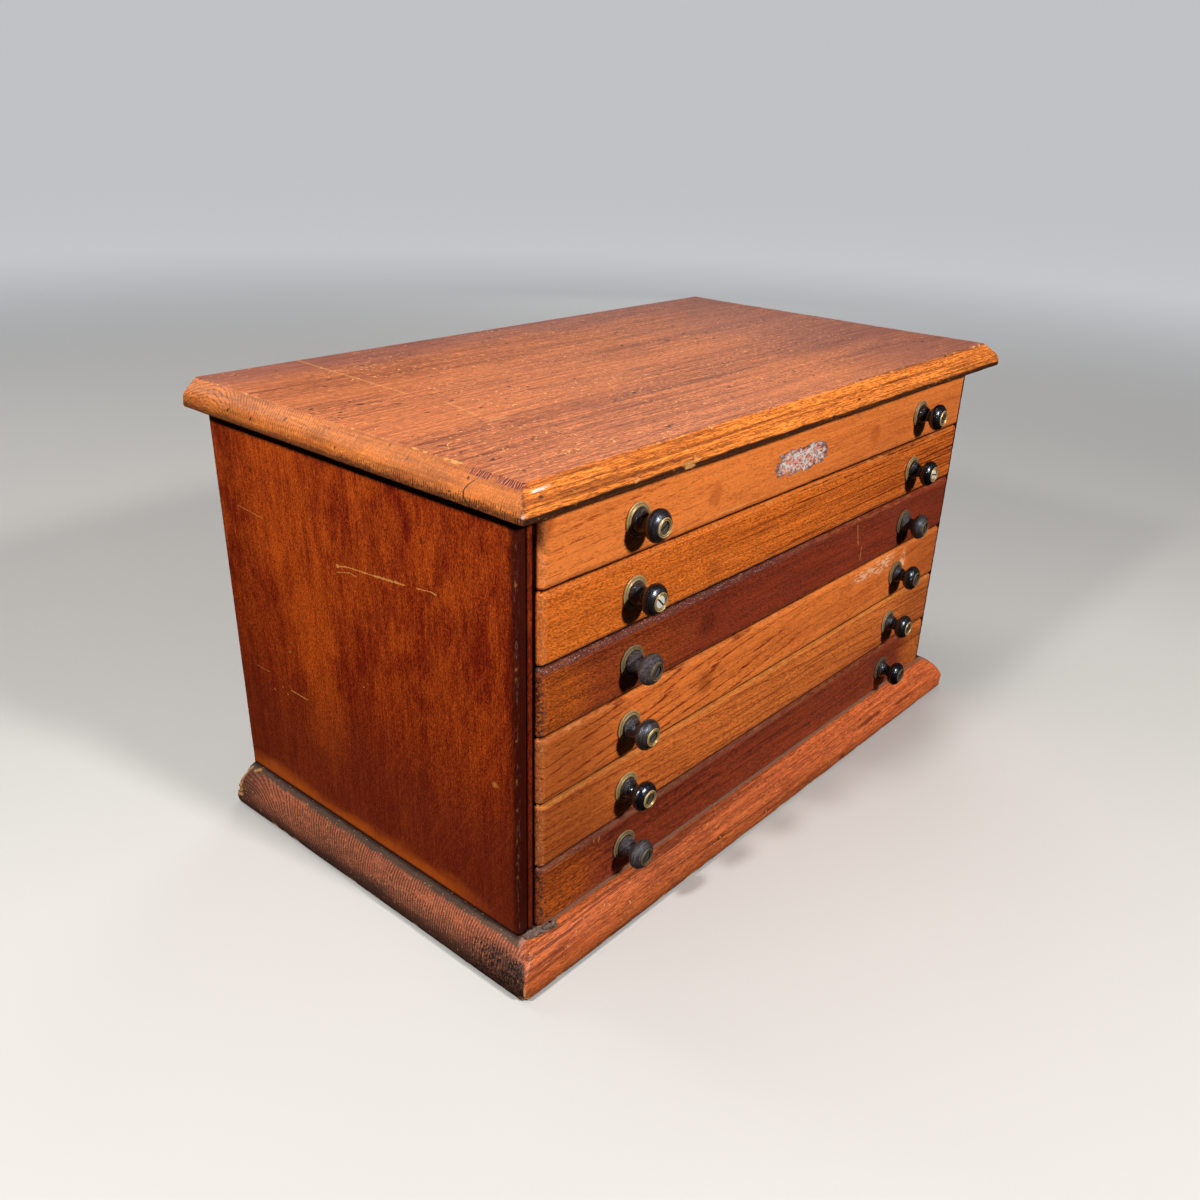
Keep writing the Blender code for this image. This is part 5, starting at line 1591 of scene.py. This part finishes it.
class CabinetBuild:
    """What every operator does: run its makers with the scene's sizes and colours."""
    bl_options = {"REGISTER", "UNDO"}
    makers = ()

    def execute(self, context):
        for make in self.makers:
            make(context.scene.cabinet_sizes, as_arrays(context.scene.cabinet_colours))
        return {"FINISHED"}


class CABINET_OT_top_board(CabinetBuild, bpy.types.Operator):
    """Build the moulded top board"""
    bl_idname = "cabinet.top_board"
    bl_label = "Top Board"
    makers = (build_top_board,)


class CABINET_OT_base_board(CabinetBuild, bpy.types.Operator):
    """Build the rounded base board"""
    bl_idname = "cabinet.base_board"
    bl_label = "Base Board"
    makers = (build_base_board,)


class CABINET_OT_side_panels(CabinetBuild, bpy.types.Operator):
    """Build both side panels and the runners inside them"""
    bl_idname = "cabinet.side_panels"
    bl_label = "Side Panels"
    makers = (build_side_panels,)


class CABINET_OT_back_panel(CabinetBuild, bpy.types.Operator):
    """Finish the back panel and drive its nails"""
    bl_idname = "cabinet.back_panel"
    bl_label = "Back Panel"
    makers = (build_back_panel,)


class CABINET_OT_drawer_fronts(CabinetBuild, bpy.types.Operator):
    """Build the six drawer fronts"""
    bl_idname = "cabinet.drawer_fronts"
    bl_label = "Drawer Fronts"
    makers = (build_drawer_fronts,)


class CABINET_OT_drawer_boxes(CabinetBuild, bpy.types.Operator):
    """Finish the drawer boxes and drive their nails"""
    bl_idname = "cabinet.drawer_boxes"
    bl_label = "Drawer Boxes"
    makers = (build_drawer_boxes,)


class CABINET_OT_rosettes(CabinetBuild, bpy.types.Operator):
    """Build the brass rosettes behind the knobs"""
    bl_idname = "cabinet.rosettes"
    bl_label = "Rosettes"
    makers = (build_rosettes,)


class CABINET_OT_knobs(CabinetBuild, bpy.types.Operator):
    """Build the knobs with their ferrules and screws"""
    bl_idname = "cabinet.knobs"
    bl_label = "Knobs"
    makers = (build_knobs,)


class CABINET_OT_scraps(CabinetBuild, bpy.types.Operator):
    """Lay the torn paper on the top drawer and the dust on the ledge"""
    bl_idname = "cabinet.scraps"
    bl_label = "Paper and Dust"
    makers = (build_scraps,)


class CABINET_OT_studio(CabinetBuild, bpy.types.Operator):
    """Set up the floor, the lights and the camera"""
    bl_idname = "cabinet.studio"
    bl_label = "Studio"
    makers = (build_stage, build_camera)


OPERATORS = [CABINET_OT_top_board, CABINET_OT_base_board, CABINET_OT_side_panels,
             CABINET_OT_back_panel, CABINET_OT_drawer_fronts, CABINET_OT_drawer_boxes,
             CABINET_OT_rosettes, CABINET_OT_knobs, CABINET_OT_scraps, CABINET_OT_studio]


class CABINET_PT_pieces(bpy.types.Panel):
    """Buttons for every group of pieces, and the sizes and colours they use."""
    bl_label = "Spool Cabinet"
    bl_idname = "CABINET_PT_pieces"
    bl_space_type = "VIEW_3D"
    bl_region_type = "UI"
    bl_category = "Cabinet"

    def draw(self, context):
        for operator in OPERATORS:
            self.layout.operator(operator.bl_idname)
        for group in (context.scene.cabinet_sizes, context.scene.cabinet_colours):
            box = self.layout.box()
            for name in group.__annotations__:
                box.prop(group, name)


CLASSES = [CabinetSizes, CabinetColours, *OPERATORS, CABINET_PT_pieces]


def register():
    """Add the classes, and the properties to the scene."""
    for item in CLASSES:
        bpy.utils.register_class(item)
    bpy.types.Scene.cabinet_sizes = bpy.props.PointerProperty(type=CabinetSizes)
    bpy.types.Scene.cabinet_colours = bpy.props.PointerProperty(type=CabinetColours)


def unregister():
    """Take away what register adds."""
    del bpy.types.Scene.cabinet_colours
    del bpy.types.Scene.cabinet_sizes
    for item in reversed(CLASSES):
        bpy.utils.unregister_class(item)


def main():
    """Run every operator in order."""
    register()
    for operator in OPERATORS:
        group, name = operator.bl_idname.split(".")
        getattr(getattr(bpy.ops, group), name)()


if __name__ == "__main__":
    main()
